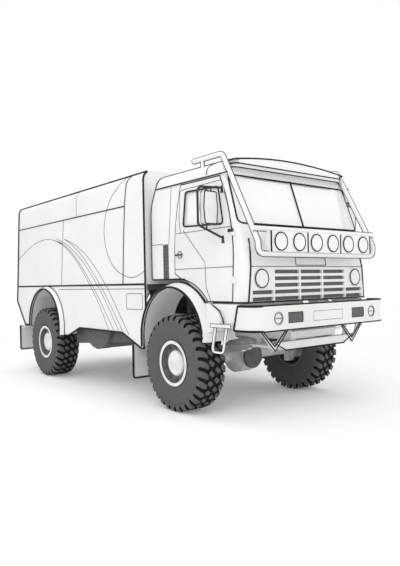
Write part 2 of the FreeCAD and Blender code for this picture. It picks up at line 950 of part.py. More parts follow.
frame_side = [rail("rail_right")] + pivot_arm("pivot_right")
for axle_word, axle_at in (("front", front_axle_place), ("rear", rear_axle_place)):
    for end_word, end in (("ahead", 1), ("behind", -1)):
        frame_side += hanger(f"hanger_{axle_word}_{end_word}", axle_at + end * s.leaf_half_length)
frame_right = fuse("frame_right", frame_side)
frame_left = mirrored("frame_left", frame_right)
cross_members = []
cross_places = {
    "rear": rear_axle_place + s.leaf_half_length,
    "middle": s.transfer_rear - s.cross_member - s.cross_member,
    "gearbox": s.transfer_front + s.cross_member,
    "nose": s.rail_front - s.cross_member,
}
for word, along in cross_places.items():
    cross_members.append(box(f"cross_{word}", (along, -(s.rail_outer) + s.rail_sheet, s.rail_low + s.rail_sheet),
                             (along + s.cross_member, s.rail_outer - s.rail_sheet,
                              s.rail_low + s.rail_sheet + s.cross_member)))
tail_plate = box("tail_plate", (-(s.rail_rear), -(s.rail_outer) + s.rail_sheet, s.rail_low + s.rail_sheet),
                 (-(s.rail_rear) + s.rail_sheet, s.rail_outer - s.rail_sheet, s.rail_top - s.rail_sheet))
bolt_holes = []
for word, near in (("right", -(s.coupling_across) / 2), ("left", s.coupling_across / 2)):
    for level, up in (("low", -(s.coupling_up) / 2), ("high", s.coupling_up / 2)):
        bolt_holes.append(cylinder(f"bolt_{word}_{level}", (
            -(s.rail_rear) - s.cut_over, near, (s.rail_low + s.rail_top) / 2 + up), s.coupling_hole,
            s.rail_sheet + s.cut_over * 2, "x"))
tail_member = cut("tail_member", tail_plate, bolt_holes)
node("frame", fuse("frame", [frame_right, frame_left, tail_member] + cross_members))


# Springs and dampers

def spring(name, along):
    """Leaf pack of the right side, bent up to an eye at each end and clamped on the axle."""
    pad_top = s.tyre_radius + s.axle_tube_radius
    eye_height = s.rail_low - s.cross_member
    outer, inner = -(s.rail_outer), -(s.rail_outer) + s.rail_width
    clamp = s.leaf_step / 2
    top = eye_height - s.leaf_rise + s.leaf_thick / 2
    pieces = []
    for leaf in range(SIZES["leaf_count"]):
        half = s.leaf_half_length - s.leaf_step * leaf
        share = half / s.leaf_half_length
        tip = top + s.leaf_rise * share * share - s.leaf_thick * (leaf + 1)
        base = top - s.leaf_thick * (leaf + 1)
        points = [
            (along - half, tip),
            (along - clamp, base),
            (along + clamp, base),
            (along + half, tip),
            (along + half, tip + s.leaf_thick),
            (along + clamp, base + s.leaf_thick),
            (along - clamp, base + s.leaf_thick),
            (along - half, tip + s.leaf_thick),
        ]
        pieces.append(plate(f"{name}_leaf_{leaf}", "y", points, outer, inner))
    for word, end in (("ahead", 1), ("behind", -1)):
        pieces.append(cylinder(f"{name}_eye_{word}", (along + end * s.leaf_half_length, outer, eye_height),
                               s.eye_radius, s.rail_width, "y"))
    pieces.append(box(name + "_clamp", (along - clamp, outer, pad_top),
                      (along + clamp, inner, top + s.leaf_thick)))
    return fuse(name, pieces)


springs = []
for word, along in (("front", front_axle_place), ("rear", rear_axle_place)):
    leafs = spring(f"spring_{word}", along)
    springs += [leafs, mirrored(f"spring_{word}_left", leafs)]
node("leaf_springs", together("leaf_springs", springs))

dampers = []
for word, along in (("front", front_axle_place - s.damper_ahead), ("rear", rear_axle_place + s.damper_ahead)):
    side = -(s.rail_outer) - s.damper_radius
    low = s.tyre_radius
    body = cylinder(f"damper_{word}_body", (along, side, low + s.cross_member * 2), s.damper_radius,
                    s.damper_top - low - s.cross_member * 2)
    rod = cylinder(f"damper_{word}_rod", (along, side, low), s.damper_radius / 2, s.cross_member * 2)
    axle_at = front_axle_place if word == "front" else rear_axle_place
    near, far = (along, axle_at) if word == "front" else (axle_at, along)
    arm = box(f"damper_{word}_arm", (near, side - s.damper_radius / 2, low - s.damper_radius / 2),
              (far, side + s.damper_radius / 2, low + s.damper_radius / 2))
    damper = cut(f"damper_{word}", fuse(f"damper_{word}_whole", [body, rod, arm]),
                 [cylinder(f"damper_{word}_seat", (axle_at, side - s.damper_radius, s.tyre_radius),
                           s.axle_tube_radius, s.damper_radius + s.damper_radius, "y")])
    dampers += [damper, mirrored(f"damper_{word}_left", damper)]
node("dampers", together("dampers", dampers))


# Engine and driveline

engine_block = box("engine_block", (s.engine_rear, -(s.engine_half), s.engine_low),
                   (s.engine_front, s.engine_half, s.engine_top))
ears = []
for word, along in (("front", s.engine_front - s.cross_member - s.cross_member), ("rear", s.engine_rear)):
    ears.append(box(f"engine_ear_{word}", (along, -(s.rail_outer), s.rail_top),
                    (along + s.cross_member, s.rail_outer, s.rail_top + s.mount_sheet)))
node("engine", fuse("engine", [engine_block] + ears))

gearbox = box("gearbox", (s.gearbox_rear, -(s.gearbox_half), s.gearbox_low),
              (s.engine_rear, s.gearbox_half, s.gearbox_top))
transfer = box("transfer", (s.transfer_rear, -(s.transfer_half), s.transfer_low),
               (s.transfer_front, s.transfer_half, s.rail_top))
transfer_ears = box("transfer_ears", (s.transfer_rear, -(s.rail_outer), s.rail_top),
                    (s.transfer_front, s.rail_outer, s.rail_top + s.mount_sheet))
shaft_height = s.transfer_low + s.shaft_radius + s.shaft_radius
link_shaft = cylinder("link_shaft", (s.transfer_front, 0, s.rail_top - s.pinion_radius), s.shaft_radius,
                      s.gearbox_rear - s.transfer_front, "x")
front_shaft = bar("front_shaft", (s.transfer_front, -(s.banjo_side), shaft_height),
                  (front_axle_place - s.pinion_reach + s.cut_over, -(s.banjo_side), s.tyre_radius),
                  s.shaft_radius)
rear_shaft = bar("rear_shaft", (s.transfer_rear, -(s.banjo_side), shaft_height),
                 (rear_axle_place + s.pinion_reach - s.cut_over, -(s.banjo_side), s.tyre_radius),
                 s.shaft_radius)
drive = fuse("drive_whole", [gearbox, transfer, transfer_ears, link_shaft, front_shaft, rear_shaft])
noses = [cylinder("front_nose_cut", (front_axle_place - s.pinion_reach, -(s.banjo_side),
                                     s.tyre_radius), s.pinion_radius, s.pinion_reach, "x"),
         cylinder("rear_nose_cut", (rear_axle_place, -(s.banjo_side), s.tyre_radius),
                  s.pinion_radius, s.pinion_reach, "x")]
node("driveline", cut("driveline", drive, noses))


# Fuel tanks with their guards

tank_points = [
    (s.tank_centre - s.tank_radius, s.tank_axis_height),
    (s.tank_centre + s.tank_radius, s.tank_axis_height, "y"),
    (s.tank_centre + s.tank_radius, s.tank_top),
    (s.tank_centre - s.tank_radius, s.tank_top),
]
tank_arc = {0: (s.tank_centre, s.tank_axis_height, s.tank_radius, "left")}
tank_points[0] = (tank_points[0][0], tank_points[0][1], "y")
tank = plate("tank", "y", tank_points, -(s.tank_outer), -(s.tank_inner), tank_arc)
guard = plate("guard", "y", [(s.guard_rear, s.guard_low_rear), (s.guard_front, s.guard_low_front),
                             (s.guard_front, s.guard_top), (s.guard_rear, s.guard_top)],
              -(s.guard_outer), -(s.guard_outer) + s.guard_sheet)
tank_arms = []
for word, along in (("front", s.tank_centre + s.tank_radius / 2), ("rear", s.tank_centre - s.tank_radius / 2)):
    tank_arms.append(box(f"tank_arm_{word}", (along, -(s.tank_inner), s.rail_top - s.tank_arm),
                         (along + s.tank_arm, -(s.rail_outer), s.rail_top)))
node("fuel_tanks", both_sides("fuel_tanks", fuse("tank_right", [tank, guard] + tank_arms)))


# Load body

def tail_line(height):
    """The rear end of the load body leans forward towards its top."""
    share = (height - s.body_low) / (s.body_top - s.body_low)
    return -(s.tail_low) + (s.tail_low - s.tail_top) * share


side_top = s.body_top - s.body_shoulder
floor_top = s.body_low + s.floor_sheet
inner_side = s.body_half - s.body_wall

floor_end = s.door_slab + s.tail_frame + s.seat_gap
floor_sheet = plate("floor_sheet", "y", [(tail_line(s.body_low) + floor_end, s.body_low),
                                         (s.body_front - s.body_wall, s.body_low),
                                         (s.body_front - s.body_wall, floor_top),
                                         (tail_line(floor_top) + floor_end, floor_top)], -inner_side, inner_side)

side_wall = plate("side_wall", "y", [(tail_line(s.body_low), s.body_low), (s.body_front, s.body_low),
                                     (s.body_front, side_top), (tail_line(side_top), side_top)],
                  -(s.body_half), -inner_side)

node("cargo_front_wall", box("cargo_front_wall", (s.body_front - s.body_wall, -inner_side, s.body_low),
                             (s.body_front, inner_side, side_top)))

roof_points = [(-(s.body_half), side_top), (-(s.body_half), s.body_top), (s.body_half, s.body_top),
               (s.body_half, side_top)]
roof_block = plate("roof_block", "x", roof_points, -(s.tail_low), s.body_front,
                   rounds=[(s.body_shoulder - s.seat_gap, [1, 2])])
hollow_points = [(-inner_side, side_top - s.cut_over), (-inner_side, s.body_top - s.body_wall),
                 (inner_side, s.body_top - s.body_wall), (inner_side, side_top - s.cut_over)]
roof_hollow = plate("roof_hollow", "x", hollow_points, -(s.tail_low) - s.cut_over,
                    s.body_front - s.body_wall, rounds=[(s.body_shoulder - s.body_wall, [1, 2])])
roof_side = plate("roof_side", "y", [(tail_line(side_top - s.cut_over), side_top - s.cut_over),
                                     (s.body_front + s.cut_over, side_top - s.cut_over),
                                     (s.body_front + s.cut_over, s.body_top),
                                     (tail_line(s.body_top), s.body_top)],
                  -(s.body_half) - s.cut_over, s.body_half + s.cut_over, rounds=[(s.tail_corner, [3])])
node("cargo_roof", common("cargo_roof", cut("roof_shell", roof_block, [roof_hollow]), roof_side))

frame_outer = inner_side
frame_low, frame_top = s.body_low, s.body_top - s.body_wall - s.seat_gap - s.body_shoulder
door_low, door_top = floor_top, frame_top - s.tail_frame


def leaned(low, top, ahead, depth):
    """Slab outline that follows the lean of the tail."""
    return [(tail_line(low) + ahead, low), (tail_line(low) + ahead + depth, low),
            (tail_line(top) + ahead + depth, top), (tail_line(top) + ahead, top)]


tail_block = plate("tail_block", "y", leaned(frame_low, side_top, s.door_slab, s.tail_frame),
                   -frame_outer, frame_outer)
tail_hole = plate("tail_hole", "y", leaned(door_low, door_top, 0, s.tail_frame + s.door_slab + s.cut_over),
                  -frame_outer + s.tail_frame, frame_outer - s.tail_frame)
node("tail_frame", cut("tail_frame", tail_block, [tail_hole]))


hinge_back = s.tail_hinge_radius + s.hinge_lift
tail_hinge_side = inner_side - s.door_gap - s.tail_hinge_radius
hinge_heights = [frame_low + (side_top - frame_low) * share for share in (0.12, 0.5, 0.88)]


def across(side, near, far):
    """Two stations across the truck in rising order for one side."""
    return (near, far) if side == LEFT else (-far, -near)


def leaned_bar(name, side, low, top, radius):
    """A bar on the leaning hinge line of a rear door."""
    return bar(name, (tail_line(low) - hinge_back, side * tail_hinge_side, low),
               (tail_line(top) - hinge_back, side * tail_hinge_side, top), radius)


def cargo_door(name, side):
    """Rear door leaf with its hinge straps, bored barrels and lock bar."""
    slab = plate(name + "_slab", "y", leaned(frame_low + s.door_gap, side_top - s.door_gap, 0,
                                             s.door_slab - s.door_gap),
                 *across(side, s.door_gap / 2, inner_side - s.door_gap))
    pieces = [slab]
    bores = []
    for number, height in enumerate(hinge_heights):
        label = f"{name}_hinge_{number}"
        top = height + s.tail_hinge_length
        pieces.append(plate(label + "_strap", "y", leaned(height + s.hinge_lift, top, -hinge_back - s.tail_strap / 2,
                                                          hinge_back + s.tail_strap / 2),
                            *across(side, tail_hinge_side - s.tail_strap_length, tail_hinge_side)))
        pieces.append(leaned_bar(label + "_barrel", side, height + s.seat_gap, top, s.tail_hinge_radius))
        bores.append(leaned_bar(label + "_bore", side, height - s.cut_over, top + s.cut_over,
                                s.tail_pin + s.spindle_gap))
    lock_side = side * s.tail_frame * 2
    back = s.lock_bar_radius / 2
    pieces.append(bar(name + "_lock", (tail_line(door_low) - back, lock_side, door_low),
                      (tail_line(door_top) - back, lock_side, door_top), s.lock_bar_radius))
    return cut(name, fuse(name + "_whole", pieces), bores)


def tail_hinge_arms(name):
    """Barrels with pins that the right side wall carries for the rear door."""
    pieces = []
    for number, height in enumerate(hinge_heights):
        label = f"{name}_{number}"
        low = height - s.tail_hinge_length
        reach = -hinge_back - s.tail_strap / 2
        pieces.append(leaned_bar(label + "_barrel", RIGHT, low, height, s.tail_hinge_radius))
        pieces.append(leaned_bar(label + "_pin", RIGHT, low, height + s.tail_hinge_length, s.tail_pin))
        pieces.append(plate(label + "_arm", "y", leaned(low, height - s.hinge_lift, reach, s.tail_strap),
                            -(s.body_half), -tail_hinge_side))
        pieces.append(plate(label + "_root", "y", leaned(low, height, reach, hinge_back + s.tail_strap),
                            -(s.body_half), -inner_side - s.seat_gap))
    return pieces


node("cargo_sides", both_sides("cargo_sides", fuse("cargo_side", [side_wall] + tail_hinge_arms("tail_hinge"))))
node("cargo_door_right", cargo_door("cargo_door_right", RIGHT))
node("cargo_door_left", cargo_door("cargo_door_left", LEFT))

bearers = []
bearer_base = s.body_low - s.bearer_height
bearer_places = {
    "tail": -(s.rail_rear) + s.bearer_width,
    "rear": rear_axle_place - s.arch_radius * 0.8,
    "middle_rear": rear_axle_place + s.arch_radius * 0.7,
    "middle": s.tank_centre - s.tank_radius - s.bearer_width * 2,
    "middle_front": s.tank_centre + s.tank_radius + s.cut_over,
    "front": s.body_front - s.body_wall - s.bearer_width,
}
for word, along in bearer_places.items():
    reach = s.body_half - s.skirt_sheet
    beam = box(f"bearer_{word}_beam", (along, -reach, bearer_base), (along + s.bearer_width, reach, s.body_low))
    posts = []
    for side_word, near in (("right", -(s.rail_outer)), ("left", s.rail_outer - s.bearer_width)):
        posts.append(box(f"bearer_{word}_{side_word}", (along, near, s.rail_top),
                         (along + s.bearer_width, near + s.bearer_width, bearer_base)))
    bearers += [beam] + posts
node("cargo_floor", fuse("cargo_floor", [floor_sheet] + bearers))


# Side skirts and flares

def arch_centre(axle_at, shift, drop=0):
    return axle_at + shift, s.tyre_radius + s.arch_rise - drop


def arch(name, centre, up, radius, slope, inner_face, flare_lows, liner_lows):
    """Wheel arch in one sheet: an inner liner and a band whose face slopes out to the lip."""
    lip = -(s.flare_outer)
    lined = s.arch_radius + s.arch_sheet
    profile = [
        (-(s.arch_inner), s.arch_radius),
        (-(s.arch_inner), lined),
        (-inner_face, lined),
        (-inner_face, radius),
        (lip + slope, radius),
        (lip, lined),
        (lip, s.arch_radius),
    ]
    body = doc.addObject("PartDesign::Body", name + "_arch")
    sketch = sketch_on(body, "x", 0, name + "_section")
    draw(sketch, profile)
    turned = body.newObject("PartDesign::Revolution", name + "_turn")
    turned.Profile = sketch
    turned.ReferenceAxis = (sketch, ["H_Axis"])
    turned.Midplane = True
    turned.Angle = 180
    sketch.Visibility = False
    pieces = [put(body, (centre, s.tail_frame * 0, up))]
    for word, end, flare_low, liner_low in (("ahead", 1, flare_lows[0], liner_lows[0]),
                                            ("behind", -1, flare_lows[1], liner_lows[1])):
        corner = [(-inner_face, s.arch_radius)]
        band = [(centre + out * end, along) for along, out in profile[2:] + corner]
        sheet_points = [(centre + out * end, along) for along, out in profile[:3] + corner]
        pieces.append(plate(f"{name}_band_{word}", "z", band, flare_low, up))
        pieces.append(plate(f"{name}_liner_{word}", "z", sheet_points, liner_low, up))
    return pieces


rear_up = s.tyre_radius + s.arch_rise - s.rear_arch_drop
front_up = s.tyre_radius + s.arch_rise
skirt_arc = (s.arch_radius + s.rear_flare_radius) / 2
skirt_top = s.body_low
skirt_inner = -(s.body_half) + s.skirt_sheet
front_arch_at = front_axle_place + s.front_arch_ahead
rear_skirt = plate("rear_skirt", "y", [
    (rear_axle_place - skirt_arc, s.skirt_tail_low),
    (rear_axle_place - skirt_arc, rear_up, "y"),
    (rear_axle_place, rear_up + skirt_arc, "x"),
    (rear_axle_place, skirt_top),
    (-(s.tail_low), skirt_top),
    (-(s.tail_low) - s.tail_kink, s.skirt_kink_height),
    (-(s.skirt_tail_corner), s.skirt_tail_low),
], -(s.body_half), skirt_inner, {1: (rear_axle_place, rear_up, skirt_arc, "right")})
mid_skirt = plate("mid_skirt", "y", [
    (rear_axle_place, skirt_top),
    (rear_axle_place, rear_up + skirt_arc, "x"),
    (rear_axle_place + skirt_arc, rear_up, "y"),
    (rear_axle_place + skirt_arc, s.rear_leg_low),
    (rear_axle_place + s.rear_flare_radius + s.bearer_width * 2, s.rear_leg_low),
    (s.tank_centre - s.tank_radius + s.bearer_width, s.skirt_low),
    (s.tank_centre + s.tank_radius * 2, s.skirt_low),
    (front_arch_at - s.flare_radius - s.bearer_width, s.skirt_tip_low),
    (front_arch_at - s.flare_radius, s.skirt_tip_low),
    (front_arch_at - s.flare_radius, front_up, "y"),
    (s.body_front, front_up + s.arch_rise, "x"),
    (s.body_front, skirt_top),
], -(s.body_half), skirt_inner, {1: (rear_axle_place, rear_up, skirt_arc, "right"),
                                 9: (front_arch_at, front_up, s.flare_radius, "right")})


rear_arch = arch("rear", rear_axle_place, rear_up, s.rear_flare_radius, s.rear_flare_slope,
                 s.body_half - s.skirt_sheet - s.arch_sheet, (s.rear_leg_low, s.skirt_tail_low), (s.rear_leg_low, s.skirt_tail_low))
skirt_right = fuse("skirt_right", [rear_skirt, mid_skirt] + rear_arch)
node("side_skirts", both_sides("side_skirts", skirt_right))

front_arch = arch("front", front_arch_at, front_up, s.flare_radius, s.front_flare_slope, s.fender_inner,
                  (s.front_leg_low, s.rear_leg_low), (s.front_leg_low, s.front_liner_low))
cheek = plate("fender_cheek", "y", [
    (front_arch_at + s.arch_radius, s.front_leg_low),
    (s.fender_nose, s.fender_nose_low),
    (s.fender_nose, s.fender_nose_top),
    (front_arch_at + s.arch_radius, s.fender_bump),
], -(s.flare_outer) + s.bearer_width, -(s.fender_inner), rounds=[(s.bearer_width, [2])])
valance = plate("valance", "y", [
    (front_arch_at + s.arch_radius, s.valance_low),
    (s.valance_front, s.valance_low),
    (s.valance_front, s.valance_top),
    (front_arch_at + s.arch_radius, s.valance_top),
], -(s.fender_inner) - s.valance_sheet, -(s.fender_inner))
fender_top = front_up + s.arch_radius + s.arch_sheet / 2
fender_post = box("fender_post", (front_arch_at - s.fender_arm, -(s.rail_outer), s.rail_top),
                  (front_arch_at + s.fender_arm, -(s.rail_outer) + s.rail_width, fender_top))
fender_arm = box("fender_arm", (front_arch_at - s.fender_arm, -(s.arch_inner) - s.fender_arm,
                                fender_top - s.fender_arm),
                 (front_arch_at + s.fender_arm, -(s.rail_outer), fender_top))
node("front_fenders", both_sides("front_fenders",
                                 fuse("fender_right", [cheek, valance, fender_post, fender_arm] + front_arch)))

flaps = []
for word, place_at, low, top in (("front", s.front_flap_place, s.flap_low_front, s.flap_top_front),
                                 ("rear", -(s.rear_flap_place), s.flap_low_rear, s.flap_top_rear)):
    flap_outer = -(s.flare_outer) + s.flap_inset
    flap = plate(f"flap_{word}_sheet", "x", [
        (flap_outer, low),
        (flap_outer + s.flap_width, low),
        (flap_outer + s.flap_width, top),
        (flap_outer, top),
    ], place_at, place_at + s.flap_sheet, rounds=[(s.flap_round, [0, 1])])
    flap_bar = box(f"flap_{word}_bar", (place_at + s.flap_sheet, skirt_inner + s.door_gap, top - s.flap_sheet * 3),
                   (place_at + s.flap_sheet * 5, -(s.rail_outer) + s.rail_width, s.rail_low))
    both = fuse(f"flap_{word}", [flap, flap_bar])
    flaps += [both, mirrored(f"flap_{word}_left", both)]
node("mud_flaps", together("mud_flaps", flaps))


# Bumper and what is under the nose

bumper_outer = [(s.bumper_end, -(s.bumper_half)), (nose_reach, -(s.bumper_half)),
                (nose_reach, s.bumper_half), (s.bumper_end, s.bumper_half)]
bumper_inset = s.bumper_half - s.bumper_sheet
bumper_inner = [(s.bumper_end - s.cut_over, -bumper_inset), (nose_reach - s.bumper_sheet, -bumper_inset),
                (nose_reach - s.bumper_sheet, bumper_inset), (s.bumper_end - s.cut_over, bumper_inset)]
bumper_block = plate("bumper_block", "z", bumper_outer, s.bumper_low, s.bumper_top,
                     rounds=[(s.bumper_round, [1, 2])])
bumper_hollow = plate("bumper_hollow", "z", bumper_inner, s.bumper_low - s.cut_over,
                      s.bumper_top + s.cut_over, rounds=[(s.bumper_round - s.bumper_sheet, [1, 2])])
lamp_holes = []
lamp_front = nose_reach - s.bumper_sheet - s.cut_over
for word, side in (("right", RIGHT), ("left", LEFT)):
    lamp_holes.append(cylinder(f"round_hole_{word}", (lamp_front, side * s.round_lamp_side,
                                                      s.bumper_lamp_height), s.round_lamp_radius,
                               s.bumper_sheet + s.cut_over * 2, "x"))
    lamp_holes.append(box(f"square_hole_{word}", (lamp_front, side * s.square_lamp_side - s.square_lamp_half,
                                                  s.bumper_lamp_height - s.square_lamp_height / 2),
                          (nose_reach + s.cut_over, side * s.square_lamp_side + s.square_lamp_half,
                           s.bumper_lamp_height + s.square_lamp_height / 2)))
bumper_shell = cut("bumper_shell", bumper_block, [bumper_hollow] + lamp_holes)
bumper_arms = []
for word, near in (("right", -(s.rail_outer)), ("left", s.rail_outer - s.rail_width)):
    bumper_arms.append(box(f"bumper_arm_{word}", (s.rail_front, near, s.bumper_low),
                           (nose_reach - s.bumper_sheet, near + s.rail_width, s.bumper_low + s.bumper_arm)))
node("bumper", fuse("bumper", [bumper_shell] + bumper_arms))

bumper_lamps = []
lamp_back = nose_reach - s.bumper_sheet
round_lamp = cylinder("round_lamp", (lamp_back, -(s.round_lamp_side), s.bumper_lamp_height),
                      s.round_lamp_radius, s.bumper_sheet - s.lamp_recess, "x")
square_lamp = box("square_lamp", (lamp_back, -(s.square_lamp_side) - s.square_lamp_half,
                                  s.bumper_lamp_height - s.square_lamp_height / 2),
                  (nose_reach - s.lamp_recess, -(s.square_lamp_side) + s.square_lamp_half,
                   s.bumper_lamp_height + s.square_lamp_height / 2))
node("bumper_lamps", together("bumper_lamps", [round_lamp, mirrored("round_lamp_left", round_lamp),
                                               square_lamp, mirrored("square_lamp_left", square_lamp)]))

skid_top = s.rail_low
skid_front_view = [(-(s.skid_half), skid_top), (-(s.skid_half_low), s.skid_low), (s.skid_half_low, s.skid_low),
                   (s.skid_half, skid_top)]
skid_body = plate("skid_body", "x", skid_front_view, s.skid_rear, s.skid_front)
skid_nose = plate("skid_nose_cut", "y", [(s.skid_rear - s.cut_over, s.skid_low + s.skid_sheet),
                                         (s.skid_front - s.skid_sheet, s.skid_low + s.skid_sheet),
                                         (s.skid_front - s.skid_sheet, skid_top + s.cut_over),
                                         (s.skid_rear - s.cut_over, skid_top + s.cut_over)],
                  -(s.skid_half) - s.cut_over, s.skid_half + s.cut_over)
skid_sheet = cut("skid_sheet", skid_body, [skid_nose])
tow_places = [
    (-(s.tow_side) - s.tow_reach, s.bumper_low),
    (-(s.tow_side), s.skid_low),
    (-(s.tow_side) + s.tow_reach, s.bumper_low),
    (-(s.tow_side) + s.tow_reach - s.tow_sheet, s.bumper_low),
    (-(s.tow_side), s.skid_low + s.tow_sheet * 2),
    (-(s.tow_side) - s.tow_reach + s.tow_sheet, s.bumper_low),
]
tow = plate("tow_right", "x", tow_places, s.skid_front - s.tow_sheet, s.skid_front)
node("skid_plate", fuse("skid_plate", [skid_sheet, tow, mirrored("tow_left", tow)]))

step_tube = tube("step_tube", [
    (s.step_front + s.step_lean, -(s.step_side), s.step_top + s.step_plate / 2),
    (s.step_front, -(s.step_side), s.step_low),
    (s.step_rear - s.step_lean / 2, -(s.step_side), s.step_low),
    (s.step_rear + s.step_lean / 2, -(s.step_side), s.step_top + s.step_plate / 2),
], s.step_tube * 3, s.step_tube)
cheek_side = s.flare_outer - s.bearer_width
step_plate = box("step_plate", (s.step_plate_rear, -(s.step_side) - s.step_tube * 2, s.step_top),
                 (s.step_plate_front, -cheek_side, s.step_top + s.step_plate))
step_arm = box("step_arm", (s.step_front, -cheek_side - s.step_tube, s.step_top),
               (s.step_front + s.step_arm, -(s.rail_outer), s.step_top + s.step_plate))
node("side_steps", both_sides("side_steps", fuse("step_right", [step_tube, step_plate, step_arm])))


# Cab shell

screen_lean = (s.screen_low_place - s.screen_top_place) / (s.screen_top_height - s.screen_low_height)


def screen_line(height):
    """How far ahead the plane of the windscreen is at a height."""
    return s.screen_top_place - screen_lean * (height - s.screen_top_height)


def cab_side(name, inset, base):
    """The cab seen from its side, moved inwards by the wall, with a rounded header."""
    points = [
        (s.cab_rear + inset, base),
        (s.cab_rear + inset, s.cab_back_bend),
        (s.cab_back_lean + inset, s.cab_roof_edge),
        (s.cab_back_lean + s.roof_shoulder + inset, s.cab_roof_top - inset),
        (screen_line(s.cab_roof_top - inset) - inset, s.cab_roof_top - inset),
        (s.screen_low_place - inset, s.screen_low_height),
        (s.nose_mid_place - inset, s.nose_mid_height),
        (s.nose_place - inset, s.nose_height),
        (s.nose_place - inset, base),
    ]
    return plate(name, "y", points, -(s.cab_half), s.cab_half,
                 rounds=[(s.roof_shoulder - inset, [3, 4]), (s.back_round - inset, [1])])


def cab_front(name, inset, base, low, high):
    """Front outline of the cab with its crowned roof, as a long block."""
    half = s.cab_half - inset
    radius = s.crown_radius - inset
    centre = s.cab_roof_top - s.crown_radius
    eaves = float(centre) + math.sqrt(float(radius) ** 2 - float(half) ** 2)
    points = [(-half, base), (half, base), (half, eaves, "x"), (-half, eaves, "x")]
    return plate(name, "x", points, low, high, {2: (s.tail_frame * 0, centre, radius, "left")},
                 [(s.roof_shoulder - inset, [2, 3])])


floor_top_cab = s.cab_floor_low + s.cab_floor_sheet
outer_long = cab_side("cab_outer_long", s.tail_frame * 0, s.cab_low)
outer_cross = cab_front("cab_outer_cross", s.tail_frame * 0, s.cab_low, s.cab_rear - s.cut_over,
                        s.nose_place + s.cut_over)
inner_long = cab_side("cab_inner_long", s.cab_wall, floor_top_cab)
inner_cross = cab_front("cab_inner_cross", s.cab_wall, floor_top_cab, s.cab_rear, s.nose_place)
cab_block = common("cab_block", outer_long, outer_cross)


def plan_section(name, front, height):
    """The cab seen from above at a height, with its two front corners rounded."""
    half, radius = s.cab_half, s.cab_corner
    made = doc.addObject("Sketcher::SketchObject", name)
    put(made, (s.cab_rear * 0, s.cab_rear * 0, height))
    draw(made, [
        (s.cab_rear - s.cut_over, -half),
        (front - radius, -half, "x"),
        (front, -half + radius, "y"),
        (front, half - radius, "y"),
        (front - radius, half, "x"),
        (s.cab_rear - s.cut_over, half),
    ], {1: (front - radius, -half + radius, radius, "left"), 3: (front - radius, half - radius, radius, "left")})
    return made


corner_loft = doc.addObject("Part::Loft", "cab_corners")
corner_loft.Sections = [
    plan_section("plan_base", s.nose_place, s.cab_low - s.cut_over),
    plan_section("plan_nose", s.nose_place, s.nose_height),
    plan_section("plan_middle", s.nose_mid_place, s.nose_mid_height),
    plan_section("plan_screen", s.screen_low_place, s.screen_low_height),
    plan_section("plan_roof", screen_line(s.cab_roof_top + s.cut_over), s.cab_roof_top + s.cut_over),
]
corner_loft.Solid = True
corner_loft.Ruled = True
cab_outer = common("cab_outer", cab_block, corner_loft)
visor_back = s.cab_wall / 2
visor_long = plate("visor_long", "y", [
    (screen_line(s.visor_low) - visor_back, s.visor_low),
    (s.screen_top_place + s.visor_ahead - s.visor_slope / 2, s.visor_low),
    (s.screen_top_place + s.visor_ahead, s.visor_low + s.visor_slope),
    (s.screen_top_place + s.visor_ahead, s.cab_roof_edge),
    (s.screen_top_place + s.visor_ahead - s.visor_slope, s.cab_roof_top),
    (screen_line(s.cab_roof_top) - visor_back, s.cab_roof_top),
], -(s.visor_half), s.visor_half)
visor_plan = plate("visor_plan", "z", [
    (s.screen_top_place - s.cab_wall * 4, -(s.visor_half)),
    (s.screen_top_place + s.visor_ahead, -(s.visor_half)),
    (s.screen_top_place + s.visor_ahead, s.visor_half),
    (s.screen_top_place - s.cab_wall * 4, s.visor_half),
], s.screen_top_height, s.cab_roof_top, rounds=[(s.roof_shoulder, [1, 2])])
visor = common("visor", common("visor_block", visor_long, visor_plan), outer_cross)
cab_inner = common("cab_inner", inner_long, inner_cross)
under = box("cab_under", (s.cab_rear + s.cab_wall, -(s.cab_half) + s.cab_wall, s.cab_low - s.cut_over),
            (s.nose_place - s.cab_wall, s.cab_half - s.cab_wall, s.cab_floor_low))
arch_cut = plate("cab_arch_cut", "y", [
    (s.cab_rear - s.cut_over, s.cab_low - s.cut_over),
    (s.door_toe_place, s.cab_low - s.cut_over),
    (s.door_toe_place, s.cab_low),
    (s.door_sweep_place - s.door_sheet * 5, s.cab_floor_low),
    (s.cab_rear - s.cut_over, s.cab_floor_low),
], -(s.cab_half) - s.cut_over, s.cab_half + s.cut_over)


def door_outline(name):
    """Outline of the door opening on the right side of the cab."""
    sweep = arch_centre(front_axle_place, s.front_arch_ahead)
    sweep_up = math.sqrt(float(s.door_sweep) ** 2 - float(s.bearer_width) ** 2)
    sweep_on = math.sqrt(float(s.door_sweep) ** 2 - float(s.door_low - sweep[1]) ** 2)
    front_on = float(s.door_front_mid - s.door_front_curve)
    front_on += math.sqrt(float(s.door_front_curve) ** 2 - float(s.door_top - s.door_waist) ** 2)
    rear_on = float(s.door_rear_low + s.door_rear_curve)
    rear_on -= math.sqrt(float(s.door_rear_curve) ** 2 - float(s.door_top - s.door_waist) ** 2)
    points = [
        (s.door_front_low, s.door_low),
        (s.door_front_mid, s.door_waist, "y"),
        (front_on, s.door_top, "y"),
        (rear_on, s.door_top, "y"),
        (s.door_rear_low, s.door_waist, "y"),
        (s.door_rear_low, s.door_heel_height),
        (sweep[0] + s.bearer_width, float(sweep[1]) + sweep_up, "x"),
        (float(sweep[0]) + sweep_on, s.door_low, "y"),
    ]
    arcs = {
        1: (s.door_front_mid - s.door_front_curve, s.door_waist, s.door_front_curve, "left"),
        3: (s.door_rear_low + s.door_rear_curve, s.door_waist, s.door_rear_curve, "left"),
        6: (sweep[0], sweep[1], s.door_sweep, "right"),
    }
    made = doc.addObject("Sketcher::SketchObject", name)
    made.Placement = Placement(Vector(0, 0, 0), Rotation(FACING["x"], 90))
    draw(made, points, arcs)
    return made


